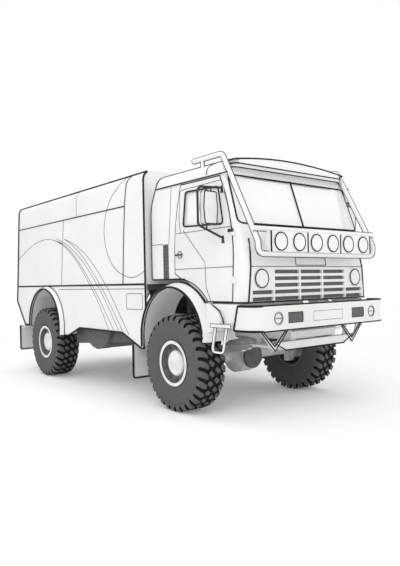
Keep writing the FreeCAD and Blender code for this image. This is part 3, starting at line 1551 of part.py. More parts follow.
def prism(name, outline, low, high):
    """A solid between two stations across the truck, from an outline in the side plane."""
    made = doc.addObject("Part::Extrusion", name)
    made.Base = outline
    made.DirMode = "Custom"
    made.Dir = FACING["y"]
    made.LengthFwd = float(high - low)
    made.Solid = True
    bind(made, "LengthFwd", high - low)
    return put(made, (s.tail_frame * 0, low, s.tail_frame * 0))


def shrunk(name, outline, gap):
    """The outline moved inwards by a gap."""
    made = doc.addObject("Part::Offset2D", name)
    made.Source = outline
    made.Value = -float(gap)
    made.Join = 2
    bind(made, "Value", -gap)
    return made


opening = door_outline("door_opening")
leaf = shrunk("door_leaf", opening, s.door_clear)
door_cut_right = prism("door_cut_right", opening, -(s.cab_half) - s.cut_over, -(s.cab_half) + s.cab_wall
                       + s.cut_over)
door_cut_left = mirrored("door_cut_left", door_cut_right)


def screen_half(name, side):
    """Front outline of one half of the windscreen, as a long block."""
    post = s.screen_post * side
    points = [
        (post, s.screen_edge_low),
        (s.screen_half_low * side, s.screen_edge_low),
        (s.screen_half_top * side, s.screen_edge_top),
        (post, s.screen_edge_top + s.screen_post),
    ]
    return plate(name, "x", points, s.screen_top_place - s.cab_wall * 3, s.nose_place,
                 rounds=[(s.screen_round, [1, 2]), (s.screen_round / 2, [0, 3])])


screens = [screen_half("screen_right", RIGHT), screen_half("screen_left", LEFT)]
panel_hole = box("panel_hole", (s.nose_place - s.cab_wall - s.cut_over, -(s.panel_half), s.cab_low - s.cut_over),
                 (s.nose_place + s.cut_over, s.panel_half, s.panel_top))


def hinge_parts(name, side, owner):
    """Two outside hinges of a cab door: the cab carries a barrel with a pin, the door a bored barrel."""
    pieces = []
    bores = []
    place_across = side * s.door_hinge_side
    for number, height in enumerate((s.door_hinge_low, s.door_hinge_top)):
        label = f"{name}_{number}"
        if owner == "cab":
            pieces.append(cylinder(label + "_barrel", (s.door_hinge_place, place_across, height - s.hinge_length),
                                   s.hinge_radius, s.hinge_length))
            pieces.append(cylinder(label + "_pin", (s.door_hinge_place, place_across, height - s.hinge_length),
                                   s.hinge_pin, s.hinge_length * 2))
            near, far = s.door_hinge_place, s.door_hinge_place + s.hinge_length
            low, high = height - s.hinge_length, height
            inner = s.cab_half - s.cab_wall / 2
        else:
            pieces.append(cylinder(label + "_barrel", (s.door_hinge_place, place_across, height + s.seat_gap),
                                   s.hinge_radius, s.hinge_length))
            bores.append(cylinder(label + "_bore", (s.door_hinge_place, place_across, height - s.hinge_length),
                                  s.hinge_pin + s.spindle_gap, s.hinge_length * 3))
            near, far = s.door_hinge_place - s.hinge_length - s.hinge_length, s.door_hinge_place
            low, high = height + s.seat_gap, height + s.seat_gap + s.hinge_length
            inner = s.cab_half + s.door_proud - s.seat_gap
        outer = s.door_hinge_side + s.hinge_radius / 2
        first, second = (inner, outer) if side == LEFT else (-outer, -inner)
        pieces.append(box(label + "_arm", (near, first, low), (far, second, high)))
    return pieces, bores


intake_pockets = []
intakes = []
for word, side in (("right", RIGHT), ("left", LEFT)):
    seat_low, seat_high = across(side, s.cab_half - s.intake_depth, s.cab_half)
    open_low, open_high = across(side, s.cab_half - s.intake_depth, s.cab_half + s.cut_over)
    intake_pockets.append(box(f"intake_pocket_{word}", (s.intake_rear, open_low, s.intake_low),
                              (s.intake_front, open_high, s.intake_top)))
    block = box(f"intake_block_{word}", (s.intake_rear + s.seat_gap, seat_low, s.intake_low + s.seat_gap),
                (s.intake_front - s.seat_gap, seat_high, s.intake_top - s.seat_gap))
    slot_low, slot_high = across(side, s.cab_half - s.intake_depth + s.intake_sheet, s.cab_half + s.cut_over)
    louvres = []
    pitch = (s.intake_top - s.intake_low - s.intake_rim) / SIZES["intake_slots"]
    for number in range(SIZES["intake_slots"]):
        base = s.intake_low + s.intake_rim + pitch * number
        louvres.append(box(f"intake_slot_{word}_{number}", (s.intake_rear + s.intake_rim, slot_low, base),
                           (s.intake_front - s.intake_rim, slot_high, base + pitch / 2)))
    intakes.append(cut(f"intake_{word}", block, louvres))

lugs = []
for word, near in (("right_outer", -(s.pivot_arm_side) - s.pivot_arm_sheet / 2 - s.lug_gap - s.lug_sheet),
                   ("right_inner", -(s.pivot_arm_side) + s.pivot_arm_sheet / 2 + s.lug_gap),
                   ("left_outer", s.pivot_arm_side + s.pivot_arm_sheet / 2 + s.lug_gap),
                   ("left_inner", s.pivot_arm_side - s.pivot_arm_sheet / 2 - s.lug_gap - s.lug_sheet)):
    lug = box(f"lug_{word}", (s.pivot_place - s.pivot_eye, near, s.pivot_height - s.pivot_eye),
              (s.pivot_place + s.lug_reach, near + s.lug_sheet, s.cab_floor_low))
    lugs.append(cut(f"lug_bored_{word}", lug, [cylinder(f"lug_bore_{word}", (s.pivot_place, near - s.cut_over,
                                                                           s.pivot_height),
                                                         s.pivot_pin + s.spindle_gap,
                                                         s.lug_sheet + s.cut_over * 2, "y")]))
cab_hinges = []
for word, side in (("right", RIGHT), ("left", LEFT)):
    cab_hinges += hinge_parts(f"cab_hinge_{word}", side, "cab")[0]
shell_cuts = [cab_inner, under, arch_cut, door_cut_right, door_cut_left, panel_hole] + screens + intake_pockets
shell = cut("shell_cut", cab_outer, shell_cuts)
above_seam = box("above_seam", (s.cab_rear - s.cut_over, -(s.cab_half) - s.cut_over, s.roof_seam),
                 (s.nose_place, s.cab_half + s.cut_over, s.cab_roof_top + s.cut_over))
node("cab_shell", fuse("cab_shell", [cut("shell_low", shell, [above_seam])] + lugs + cab_hinges))
drips = []
for word, side in (("right", RIGHT), ("left", LEFT)):
    drip_low, drip_high = across(side, s.cab_half - s.drip_rail, s.cab_half + s.drip_rail)
    drips.append(box(f"drip_{word}", (s.cab_back_lean, drip_low, s.roof_seam),
                     (s.screen_top_place - s.cab_corner, drip_high, s.roof_seam + s.drip_rail)))
node("cab_roof", fuse("cab_roof", [common("roof_top", shell, above_seam), visor] + drips))

screen_slab = plate("screen_slab", "y", [
    (s.screen_top_place - s.glass_inset - s.glass_sheet, s.screen_top_height),
    (s.screen_low_place - s.glass_inset - s.glass_sheet, s.screen_low_height),
    (s.screen_low_place - s.glass_inset, s.screen_low_height),
    (s.screen_top_place - s.glass_inset, s.screen_top_height),
], -(s.cab_half), s.cab_half)
glass_halves = []
for word, side in (("right", RIGHT), ("left", LEFT)):
    glass_halves.append(common(f"glass_{word}", screen_half(f"glass_cutter_{word}", side), screen_slab))
node("windscreen", together("windscreen", glass_halves))

panel_front = s.nose_place
panel_block = box("panel_block", (panel_front - s.panel_sheet, -(s.panel_half), s.cab_low),
                  (panel_front, s.panel_half, s.panel_top))
slots = []
for row in range(5):
    base = s.slot_first - s.slot_pitch * row - s.slot_height / 2
    spans = [(s.slot_inner_half + s.slot_gap, s.slot_outer_reach)]
    if row > 2:
        spans.append((s.slot_side_inner, s.slot_side_outer))
    slots.append(box(f"slot_middle_{row}", (panel_front - s.panel_sheet - s.cut_over, -(s.slot_inner_half), base),
                     (panel_front + s.cut_over, s.slot_inner_half, base + s.slot_height)))
    for number, (near, far) in enumerate(spans):
        for word, low, high in (("right", -far, -near), ("left", near, far)):
            slots.append(box(f"slot_{word}_{row}_{number}", (panel_front - s.panel_sheet - s.cut_over, low, base),
                             (panel_front + s.cut_over, high, base + s.slot_height)))
lamp_seats = []
for word, side in (("right", RIGHT), ("left", LEFT)):
    lamp_seats.append(cylinder(f"lamp_seat_{word}", (panel_front - s.headlamp_depth, side * s.headlamp_side,
                                                     s.headlamp_height), s.headlamp_radius,
                               s.headlamp_depth + s.cut_over, "x"))
node("front_panel", cut("front_panel", panel_block, slots + lamp_seats))
backing_holes = [cylinder(f"backing_hole_{word}", (panel_front - s.headlamp_depth, side * s.headlamp_side,
                                                   s.headlamp_height), s.headlamp_radius, s.headlamp_depth, "x")
                 for word, side in (("right", RIGHT), ("left", LEFT))]
backing = box("backing", (panel_front - s.panel_sheet - s.arch_sheet / 2, -(s.panel_half), s.cab_low),
              (panel_front - s.panel_sheet, s.panel_half, s.panel_top))
node("grille_backing", together("grille_backing", [cut("front_backing", backing, backing_holes)] + intakes))
headlamp = cylinder("headlamp", (panel_front - s.headlamp_depth + s.headlamp_proud, -(s.headlamp_side),
                                 s.headlamp_height), s.headlamp_radius, s.headlamp_depth, "x")


# Light bar

bar_roof_height = s.cab_roof_top + s.bar_roof_rise


def bar_side(name, side):
    place_across = s.bar_side * side
    return tube(name, [
        (s.bar_roof_rear, place_across, bar_roof_height - s.bar_tube),
        (s.bar_roof_front, place_across, bar_roof_height - s.bar_tube),
        (s.bar_low_place, place_across, s.bar_cross_height - s.bar_bend),
        (s.bar_low_place, place_across, s.bar_low_height),
        (s.bar_low_place, s.seat_gap * 0, s.bar_low_height),
    ], s.bar_bend * 0.6, s.bar_tube)


bar_pieces = [bar_side("bar_right", RIGHT), bar_side("bar_left", LEFT)]
bar_pieces.append(cylinder("bar_cross", (s.bar_low_place - s.bar_tube, -(s.bar_cross_half), s.bar_cross_height),
                           s.bar_tube, s.bar_cross_half * 2, "y"))
for word, side in (("right", RIGHT), ("left", LEFT)):
    bar_pieces.append(cylinder(f"bar_post_{word}", (s.bar_post_place, side * s.bar_side, s.roof_seam),
                               s.bar_post_radius, bar_roof_height - s.bar_tube - s.roof_seam))
box_edge = s.lamp_box_half / 3
for word, low, high in (("right", -(s.lamp_box_half), -box_edge - s.lamp_box_gap / 2),
                        ("middle", -box_edge + s.lamp_box_gap / 2, box_edge - s.lamp_box_gap / 2),
                        ("left", box_edge + s.lamp_box_gap / 2, s.lamp_box_half)):
    bar_pieces.append(box(f"lamp_box_{word}", (s.lamp_box_rear, low, s.lamp_box_low),
                          (s.lamp_box_front, high, s.lamp_box_top)))
spot_seats = []
spots = []
for number in range(6):
    place_across = s.spot_pitch * number - s.spot_pitch * 2.5
    height = (s.lamp_box_low + s.lamp_box_top) / 2
    spot_seats.append(cylinder(f"spot_seat_{number}", (s.lamp_box_front - s.spot_depth, place_across, height),
                               s.spot_radius, s.spot_depth + s.cut_over, "x"))
    spots.append(cylinder(f"spot_{number}", (s.lamp_box_front - s.spot_depth, place_across, height),
                          s.spot_radius, s.spot_depth + s.spot_proud, "x"))
for word, side in (("right", RIGHT), ("left", LEFT)):
    bar_pieces.append(cylinder(f"bar_arm_{word}", (s.nose_mid_place - s.cab_wall, side * s.spot_pitch * 2,
                                                   s.bar_low_height), s.bar_post_radius,
                               s.bar_low_place - s.nose_mid_place + s.cab_wall, "x"))
node("light_bar", cut("light_bar", fuse("light_bar_whole", bar_pieces), spot_seats + [cab_outer]))
node("cab_lamps", together("cab_lamps", spots + [headlamp, mirrored("headlamp_left", headlamp)]))


# Cab doors

def cab_door(name, side):
    slab = prism(name + "_slab", leaf, -(s.cab_half) - s.door_proud, -(s.cab_half) - s.door_proud + s.door_sheet)
    window_points = [
        (s.window_rear_low, s.window_low + s.screen_post),
        (s.window_front_low, s.window_low - s.screen_post),
        (s.window_front_top, s.window_top - s.screen_post),
        (s.window_rear_top, s.window_top),
    ]
    outer, inner = -(s.cab_half) - s.door_proud - s.cut_over, -(s.cab_half) + s.door_sheet + s.cut_over
    window = plate(name + "_window", "y", window_points, outer, inner, rounds=[(s.screen_round * 0.6,
                                                                               [0, 1, 2, 3])])
    grip = box(name + "_grip", (s.door_rear_mid, -(s.cab_half) - s.door_proud - s.handle_rise,
                                s.handle_height - s.handle_rise / 2),
               (s.door_rear_mid + s.handle_length, -(s.cab_half) - s.door_proud, s.handle_height
                + s.handle_rise / 2))
    grip_plate = cylinder(name + "_grip_plate", (s.door_rear_mid + s.handle_length - s.handle_plate,
                                                 -(s.cab_half) - s.door_proud - s.door_proud, s.handle_height),
                          s.handle_plate, s.door_proud + s.door_proud, "y")
    hinges, bores = hinge_parts(name + "_hinge", RIGHT, "door")
    whole = fuse(name + "_whole", [slab, grip, grip_plate, mirror] + hinges)
    made = cut(name + "_right_side", whole, [window] + bores)
    glass = common(name + "_glass", window, box(name + "_glass_sheet", (
        s.door_rear_low, -(s.cab_half) + s.glass_inset, s.cab_low), (s.nose_place, -(s.cab_half) + s.glass_inset
                                                                    + s.glass_sheet, s.cab_roof_edge)))
    if side == LEFT:
        made = mirrored(name, made)
        glass = mirrored(name + "_glass_left", glass)
    return made, glass


mirror_root = -(s.cab_half) - s.door_proud - s.mirror_foot / 3
mirror_reach = -(s.mirror_side)
mirror_frame = tube("mirror_tube", [
    (s.mirror_foot_place, mirror_root, s.mirror_top),
    (s.mirror_place, mirror_reach, s.mirror_top),
    (s.mirror_place, mirror_reach, s.mirror_low),
    (s.mirror_foot_place, mirror_root, s.mirror_foot_height),
], s.mirror_bend, s.mirror_tube)
mirror_feet = []
for word, height in (("top", s.mirror_top), ("low", s.mirror_foot_height)):
    mirror_feet.append(plate(f"mirror_foot_{word}", "y", [
        (s.mirror_foot_place - s.mirror_foot, height - s.mirror_foot * 2),
        (s.mirror_foot_place + s.mirror_foot, height - s.mirror_foot * 2),
        (s.mirror_foot_place + s.mirror_foot / 2, height + s.mirror_foot),
        (s.mirror_foot_place - s.mirror_foot / 2, height + s.mirror_foot),
    ], -(s.cab_half) - s.door_proud - s.mirror_foot / 2, -(s.cab_half) - s.door_proud))


def mirror_arm(side_place, end_height):
    """Point of a mirror arm at a distance from the middle, on the run that ends at a height on the door."""
    share = (side_place - mirror_reach) / (mirror_root - mirror_reach)
    bend_height = s.mirror_top if end_height is s.mirror_top else s.mirror_low
    return (s.mirror_place + (s.mirror_foot_place - s.mirror_place) * share, side_place,
            bend_height + (end_height - bend_height) * share)


head_outer = -(s.mirror_head_side) - s.mirror_head_half
head_inner = -(s.mirror_head_side) + s.mirror_head_half
head_place = mirror_arm(-(s.mirror_head_side), s.mirror_top)[0]
head_middle = (s.mirror_head_low + s.mirror_head_top) / 2
head_tall = float(s.mirror_head_top - s.mirror_head_low) / 2
head_sag = float(s.mirror_head_round) - math.sqrt(float(s.mirror_head_round) ** 2 - head_tall ** 2)
head = plate("mirror_head", "x", [
    (head_outer + head_sag, s.mirror_head_low, "y"),
    (head_inner - head_sag, s.mirror_head_low, "y"),
    (head_inner - head_sag, s.mirror_head_top, "y"),
    (head_outer + head_sag, s.mirror_head_top, "y"),
], head_place - s.mirror_head_depth / 2, head_place + s.mirror_head_depth / 2, {
    1: (head_inner - s.mirror_head_round, head_middle, s.mirror_head_round, "left"),
    3: (head_outer + s.mirror_head_round, head_middle, s.mirror_head_round, "left"),
}, rounds=[(s.mirror_foot, [0, 1, 2, 3])])
struts = []
for word, near, end_height, head_end in (("inner", s.mirror_foot, s.mirror_top, s.mirror_head_top),
                                         ("outer", -(s.mirror_foot), s.mirror_top, s.mirror_head_top),
                                         ("low", -(s.mirror_foot), s.mirror_foot_height, s.mirror_head_low)):
    start = mirror_arm(near - s.mirror_head_side, end_height)
    inside = s.mirror_tube if head_end is s.mirror_head_low else -(s.mirror_tube)
    struts.append(bar(f"mirror_strut_{word}", start, (start[0], start[1], head_end + inside), s.mirror_tube * 0.6))
mirror = fuse("mirror_whole", [mirror_frame, head] + mirror_feet + struts)
for word, side in (("right", RIGHT), ("left", LEFT)):
    door, pane = cab_door(f"door_{word}", side)
    node(f"door_{word}", door)
    node(f"door_glass_{word}", pane)


# Cab interior

def seat(name):
    near, far = -(s.seat_side) - s.seat_half, -(s.seat_side) + s.seat_half
    base = box(name + "_base", (s.seat_rear + s.seat_back, -(s.seat_side) - s.seat_base_half, floor_top_cab),
               (s.seat_front - s.seat_back, -(s.seat_side) + s.seat_base_half, s.seat_low))
    cushion = box(name + "_cushion", (s.seat_rear, near, s.seat_low), (s.seat_front, far, s.seat_low
                                                                      + s.seat_cushion))
    back = box(name + "_back", (s.seat_rear, near, s.seat_low), (s.seat_rear + s.seat_back, far,
                                                                s.seat_back_top))
    return fuse(name, [base, cushion, back])


node("seats", both_sides("seats", seat("seat_right")))
dash = plate("dash", "y", [
    (s.dash_rear, s.dash_low),
    (s.nose_mid_place - s.cab_wall, s.dash_low),
    (s.nose_mid_place - s.cab_wall, s.nose_mid_height),
    (s.screen_low_place - s.cab_wall - s.screen_post, s.dash_top),
    (s.dash_rear + s.cab_wall, s.dash_top),
], -(s.dash_half), s.dash_half)
steering = doc.addObject("Part::Torus", "steering_rim")
steering.Radius1 = float(s.wheel_radius)
steering.Radius2 = float(s.wheel_rim)
bind(steering, "Radius1", s.wheel_radius)
bind(steering, "Radius2", s.wheel_rim)
steering_turn = Rotation(FACING["y"], -30)
put(steering, (s.wheel_place, s.seat_side, s.wheel_height), steering_turn)
hub = doc.addObject("Part::Cylinder", "steering_column")
hub.Radius = float(s.column_radius)
hub.Height = float(s.wheel_radius * 2.2)
bind(hub, "Radius", s.column_radius)
bind(hub, "Height", s.wheel_radius * 2.2)
put(hub, (s.wheel_place, s.seat_side, s.wheel_height), Rotation(FACING["y"], 150))
spoke = doc.addObject("Part::Box", "steering_spoke")
spoke.Length = float(s.column_radius)
spoke.Width = float(s.wheel_radius * 2)
spoke.Height = float(s.wheel_rim)
bind(spoke, "Length", s.column_radius)
bind(spoke, "Width", s.wheel_radius * 2)
bind(spoke, "Height", s.wheel_rim)
put(spoke, (s.wheel_place, s.seat_side - s.wheel_radius, s.wheel_height), steering_turn)
node("dashboard", fuse("dashboard", [dash, steering, hub, spoke]))


# Checks and export

doc.recompute()
faults = []
for thing in doc.Objects:
    if "Invalid" in thing.State or "Error" in thing.State:
        faults.append(f"{thing.Name} {thing.State}")
for name, piece in nodes.items():
    if piece.Shape.isNull() or not piece.Shape.isValid() or not piece.Shape.Solids:
        faults.append(f"{name} has no valid solid")
if faults:
    raise RuntimeError("; ".join(faults))
os.makedirs("parts", exist_ok=True)
for name, piece in nodes.items():
    piece.Shape.exportStep(f"parts/{name}.step")
print(len(nodes), "nodes")
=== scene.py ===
"""White off-road service truck: paint, tyres, seals, lamps, pinstripes and the studio."""

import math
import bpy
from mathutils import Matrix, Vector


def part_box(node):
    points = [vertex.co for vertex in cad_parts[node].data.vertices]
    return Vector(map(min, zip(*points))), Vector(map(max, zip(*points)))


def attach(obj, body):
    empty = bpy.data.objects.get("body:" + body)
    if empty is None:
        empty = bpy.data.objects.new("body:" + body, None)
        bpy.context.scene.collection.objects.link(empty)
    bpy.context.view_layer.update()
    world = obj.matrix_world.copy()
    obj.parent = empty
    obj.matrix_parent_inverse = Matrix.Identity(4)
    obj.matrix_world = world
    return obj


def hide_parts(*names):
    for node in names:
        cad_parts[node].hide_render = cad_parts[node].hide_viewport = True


bl_info = {
    "name": "Off-road Service Truck",
    "version": (1, 0, 0),
    "blender": (4, 5, 0),
    "location": "View3D > Sidebar > Truck",
    "description": "Dresses the service truck with paint, tyres, seals, lamps and stripes",
    "category": "Object",
}

from itertools import product

import bmesh
import bpy
from bpy.props import FloatProperty, FloatVectorProperty, IntProperty, PointerProperty
from mathutils import Matrix, Vector

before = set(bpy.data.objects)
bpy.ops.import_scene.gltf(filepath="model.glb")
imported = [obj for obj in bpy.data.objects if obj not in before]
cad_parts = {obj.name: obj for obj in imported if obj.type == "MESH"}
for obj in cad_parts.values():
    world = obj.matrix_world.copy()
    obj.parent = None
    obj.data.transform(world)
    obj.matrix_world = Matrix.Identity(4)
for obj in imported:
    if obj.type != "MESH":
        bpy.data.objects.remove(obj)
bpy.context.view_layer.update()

# Sizes are in metres: X runs ahead, Y to the left and Z up
SIDES = {"right": -1, "left": 1}

# Wheels
AXLES = {"front": 2.025, "rear": -2.025}
HUB_SIDE = 1.11
HUB_HEIGHT = 0.63
TYRE_RADIUS = 0.63
RIM_HALF = 0.170
NUT_CIRCLE = 0.215
NUTS = 10

# Arches: centres in the side plane, and radii
FRONT_ARCH = (2.010, 0.95)
REAR_ARCH = (-2.025, 0.94)
ARCH_SIDE = 1.33
ARCH_INNER = 0.672
ARCH_LIP = 0.676
ARCH_ROLL = 0.038
FRONT_RIM = 0.735
REAR_RIM = 0.725
SKIRT_LOW = 0.80
REAR_FLARE_LOW = 0.905

# Load body
BODY_SIDE = 1.25
BODY_FRONT = 1.335
BODY_SEAM = 1.669
UPPER_SEAM = 2.827
SIDE_TOP = 3.14
BODY_SHOULDER = 0.14
BODY_TOP = SIDE_TOP + BODY_SHOULDER
BODY_END = -3.538
TAIL = ((-3.478, BODY_SEAM), (-3.318, BODY_TOP))

# Cab
CAB_SIDE = 1.16
CAB_SHOULDER = 0.11
CAB_SIDE_TOP = 3.034
CAB_REAR = 1.385
ROOF_TOP = 3.235
ROOF_RADIUS = 6.2
NOSE = ((2.935, 3.0), (3.168, 2.34), (3.24, 2.1), (3.28, 1.85), (3.28, 1.43))
DOOR_SIDE = 1.165
WINDOW = ((2.132, 2.408), (2.926, 2.372), (2.842, 2.832), (2.195, 2.85))

# Mirror heads, door grips, light bar
MIRROR_ACROSS = (1.262, 1.438)
MIRROR_HEIGHTS = (2.366, 2.744)
MIRROR_BOW = 0.017
MIRROR_FACES = (2.8506, 2.9206)
MIRROR_PANE = (2.8475, 2.8515)
GRIP = (2.057, 2.045)
BAR_SIDE = 1.1
BAR_TOP = 3.23
BAR_FRONT = 3.44

# Lamps
BAR_LAMP_PITCH = 0.316
BAR_LAMP_HEIGHT = 2.134
MARKER_SIDE = 0.895
MARKER_HEIGHT = 1.25

# Bumper
BUMPER_LINE = 3.523
BUMPER_SIDE = 1.247
BUMPER_FACE = 3.5335
PLATE_HALF = 0.28
PLATE_HEIGHTS = (1.19, 1.305)

# Stage
WHITE = (1, 1, 1, 1)
ROOM_LIGHT = 0.72
FLOOR_GLOW = 0.16
PICTURE_SIDE = 566


def tail_at(height):
    """X of the leaning rear edge of the load body at a height."""
    (x0, z0), (x1, z1) = TAIL
    return x0 + (x1 - x0) * (height - z0) / (z1 - z0)


def nose_at(height):
    """X of the cab's sloping front at a height."""
    for (x0, z0), (x1, z1) in zip(NOSE, NOSE[1:]):
        if height >= z1:
            return x0 + (x1 - x0) * (height - z0) / (z1 - z0)
    return NOSE[-1][0]


def body_shoulder(along, turn):
    """A point on the load body's rounded left shoulder, by its angle from the side wall."""
    a = math.radians(turn)
    across = BODY_SIDE - BODY_SHOULDER + BODY_SHOULDER * math.cos(a)
    return (along, across, SIDE_TOP + BODY_SHOULDER * math.sin(a))


def cab_shoulder(along, turn):
    """A point on the cab roof's rounded left shoulder, by its angle from the side wall."""
    a = math.radians(turn)
    across = CAB_SIDE - CAB_SHOULDER + CAB_SHOULDER * math.cos(a)
    return (along, across, CAB_SIDE_TOP + CAB_SHOULDER * math.sin(a))


def roof_crown(across):
    """Height of the crowned cab roof at a distance from the middle."""
    return ROOF_TOP - (ROOF_RADIUS - math.sqrt(ROOF_RADIUS ** 2 - across ** 2))


# Outlines

def arc(centre, radius, start, stop, steps=24):
    """Points on an arc in a plane, with its angles in degrees from the first axis."""
    points = []
    for i in range(steps + 1):
        a = math.radians(start + (stop - start) * i / steps)
        points.append((centre[0] + radius * math.cos(a), centre[1] + radius * math.sin(a)))
    return points


def circle(centre, radius, count):
    """Points evenly round a circle in a plane."""
    return arc(centre, radius, 0, 360 * (count - 1) / count, count - 1)


def rounded(low, high, radius, steps=5):
    """A rounded rectangle between two corners of a plane."""
    right, left = high[0] - radius, low[0] + radius
    top, bottom = high[1] - radius, low[1] + radius
    points = []
    for quarter, centre in enumerate(((right, top), (left, top), (left, bottom), (right, bottom))):
        points += arc(centre, radius, 90 * quarter, 90 * quarter + 90, steps)
    return points


def bend(before, corner, after, radius, steps):
    """A smooth turn in place of a corner between two neighbours."""
    back = (before - corner).normalized()
    on = (after - corner).normalized()
    reach = radius / math.tan(back.angle(on) / 2)
    start, stop = corner + back * reach, corner + on * reach
    shares = [i / steps for i in range(steps + 1)]
    return [tuple(start * (1 - t) ** 2 + corner * 2 * t * (1 - t) + stop * t ** 2) for t in shares]


def rounded_corners(points, radius, steps=5):
    """A closed outline with its corners rounded."""
    points = [Vector(p) for p in points]
    out = []
    for before, corner, after in zip(points[-1:] + points, points, points[1:] + points[:1]):
        out += bend(before, corner, after, radius, steps)
    return out


def softened(points, radius, steps=6):
    """An open path with its inner corners rounded."""
    points = [Vector(p) for p in points]
    out = [tuple(points[0])]
    for before, corner, after in zip(points, points[1:], points[2:]):
        out += bend(before, corner, after, radius, steps)
    return out + [tuple(points[-1])]


def on_side(points, across):
    """Side-plane points (x, z) placed at a distance across the truck."""
    return [(x, across, z) for x, z in points]


def on_front(points, along):
    """Front-plane points (y, z) placed at a distance along the truck."""
    return [(along, y, z) for y, z in points]


def on_plan(points, height, back=0.0):
    """Plan points (x, y) placed at a height."""
    return [(x - back, y, height) for x, y in points]


def placed(run, side):
    """A run of the left side placed on one side of the truck."""
    return [(x, side * y, z) for x, y, z in run]


def both_sides(*runs):
    """Runs of the left side placed on both sides of the truck."""
    return [placed(run, side) for side in SIDES.values() for run in runs]


def flanks(path, radius):
    """Two lines of painted edge shade along a tube, one on each flank as seen from the camera's front
    quarter.
    """
    # The facing is the camera's direction: the lines lie where the tube turns away from the camera, as
    # painted shade.
    facing = Vector((0.66, -0.74, -0.1))
    path = [Vector(p) for p in path]
    lines = [[], []]
    for i, point in enumerate(path):
        along = (path[min(i + 1, len(path) - 1)] - path[max(i - 1, 0)]).normalized()
        towards = (facing - along * facing.dot(along)).normalized()
        flank = along.cross(towards)
        for line, way in zip(lines, (1, -1)):
            line.append(tuple(point + (flank * way * 0.97 + towards * 0.24) * radius))
    return lines


# Node trees

def linear(code):
    """Linear colour of an sRGB hex value."""
    out = []
    for i in (0, 2, 4):
        v = int(code[i:i + 2], 16) / 255
        out.append(v / 12.92 if v <= 0.04045 else ((v + 0.055) / 1.055) ** 2.4)
    return (*out, 1.0)


def feed(node, inputs):
    """Set or link inputs of a node."""
    for key, value in inputs.items():
        socket = node.inputs[key]
        if isinstance(value, bpy.types.NodeSocket):
            node.id_data.links.new(value, socket)
        else:
            socket.default_value = value


def add(tree, kind, inputs=None, **settings):
    """Add a node with its settings, values and links."""
    made = tree.nodes.new(kind)
    for key, value in settings.items():
        setattr(made, key, value)
    feed(made, inputs or {})
    return made


def emptied(owner):
    """The cleared node tree of a material or world."""
    owner.use_nodes = True
    owner.node_tree.nodes.clear()
    return owner.node_tree


def seen_directly(tree):
    """Mask of the rays that see the pale room: camera, glossy and transmission rays."""
    path = add(tree, "ShaderNodeLightPath")
    seen = path.outputs["Is Camera Ray"]
    for ray in ("Is Glossy Ray", "Is Transmission Ray"):
        seen = add(tree, "ShaderNodeMath", {0: seen, 1: path.outputs[ray]}, operation="MAXIMUM").outputs[0]
    return seen


def object_axes(tree):
    """The object coordinates of a point, one by one."""
    coords = add(tree, "ShaderNodeTexCoord")
    return add(tree, "ShaderNodeSeparateXYZ", {"Vector": coords.outputs["Object"]}).outputs


def block_mask(tree, x_span, y_span, z_span):
    """One inside a block of the space, the same on both sides of the truck."""
    axes = object_axes(tree)
    across = add(tree, "ShaderNodeMath", {0: axes["Y"]}, operation="ABSOLUTE").outputs[0]
    mask = 1.0
    for value, span in ((axes["X"], x_span), (across, y_span), (axes["Z"], z_span)):
        for limit, test in zip(span, ("GREATER_THAN", "LESS_THAN")):
            past = add(tree, "ShaderNodeMath", {0: value, 1: limit}, operation=test).outputs[0]
            mask = add(tree, "ShaderNodeMath", {0: past, 1: mask}, operation="MULTIPLY").outputs[0]
    return mask


def distance_from(tree, first, first_at, second, second_at):
    """Distance from a place in the plane of two coordinates."""
    one = add(tree, "ShaderNodeMath", {0: first, 1: first_at}, operation="SUBTRACT")
    two = add(tree, "ShaderNodeMath", {0: second, 1: second_at}, operation="SUBTRACT")
    flat = add(tree, "ShaderNodeCombineXYZ", {"X": one.outputs[0], "Y": two.outputs[0]})
    return add(tree, "ShaderNodeVectorMath", {0: flat.outputs[0]}, operation="LENGTH").outputs["Value"]


def hub_radius(tree):
    """Distance of a point from the nearest wheel's axle line, the same for all four wheels."""
    axes = object_axes(tree)
    along = add(tree, "ShaderNodeMath", {0: axes["X"]}, operation="ABSOLUTE").outputs[0]
    return distance_from(tree, along, AXLES["front"], axes["Z"], HUB_HEIGHT)


def place(tree, size_mm):
    """Object coordinates scaled so that one unit of a pattern is a real size in millimetres."""
    coords = add(tree, "ShaderNodeTexCoord")
    return add(tree, "ShaderNodeMapping", {"Vector": coords.outputs["Object"],
                                          "Scale": (1000 / size_mm,) * 3}).outputs["Vector"]


def mottle(tree, size_mm, low, high):
    """Soft colour variation between two hex colours."""
    noise = add(tree, "ShaderNodeTexNoise", {"Vector": place(tree, size_mm), "Scale": 1.0, "Detail": 3.0})
    ramp = add(tree, "ShaderNodeValToRGB", {"Fac": noise.outputs["Fac"]})
    for point, position, code in zip(ramp.color_ramp.elements, (0.35, 0.65), (low, high)):
        point.position = position
        point.color = linear(code)
    return ramp.outputs["Color"]


def stepped(tree, value, stops):
    """Hard-edged colours by value, from a dictionary of start and hex colour."""
    ramp = add(tree, "ShaderNodeValToRGB", {"Fac": value})
    ramp.color_ramp.interpolation = "CONSTANT"
    points = ramp.color_ramp.elements
    while len(points) < len(stops):
        points.new(1.0)
    for point, start in zip(points, stops):
        point.position = start
    for point, code in zip(points, stops.values()):
        point.color = linear(code)
    return ramp.outputs["Color"]


def tinted(tree, base, size_mm, shade):
    """A colour with a soft variation down to a pale shade."""
    over = mottle(tree, size_mm, shade, "FFFFFF")
    mix = add(tree, "ShaderNodeMix", {"Factor": 1.0, 6: base, 7: over}, data_type="RGBA",
              blend_type="MULTIPLY")
    return mix.outputs[2]


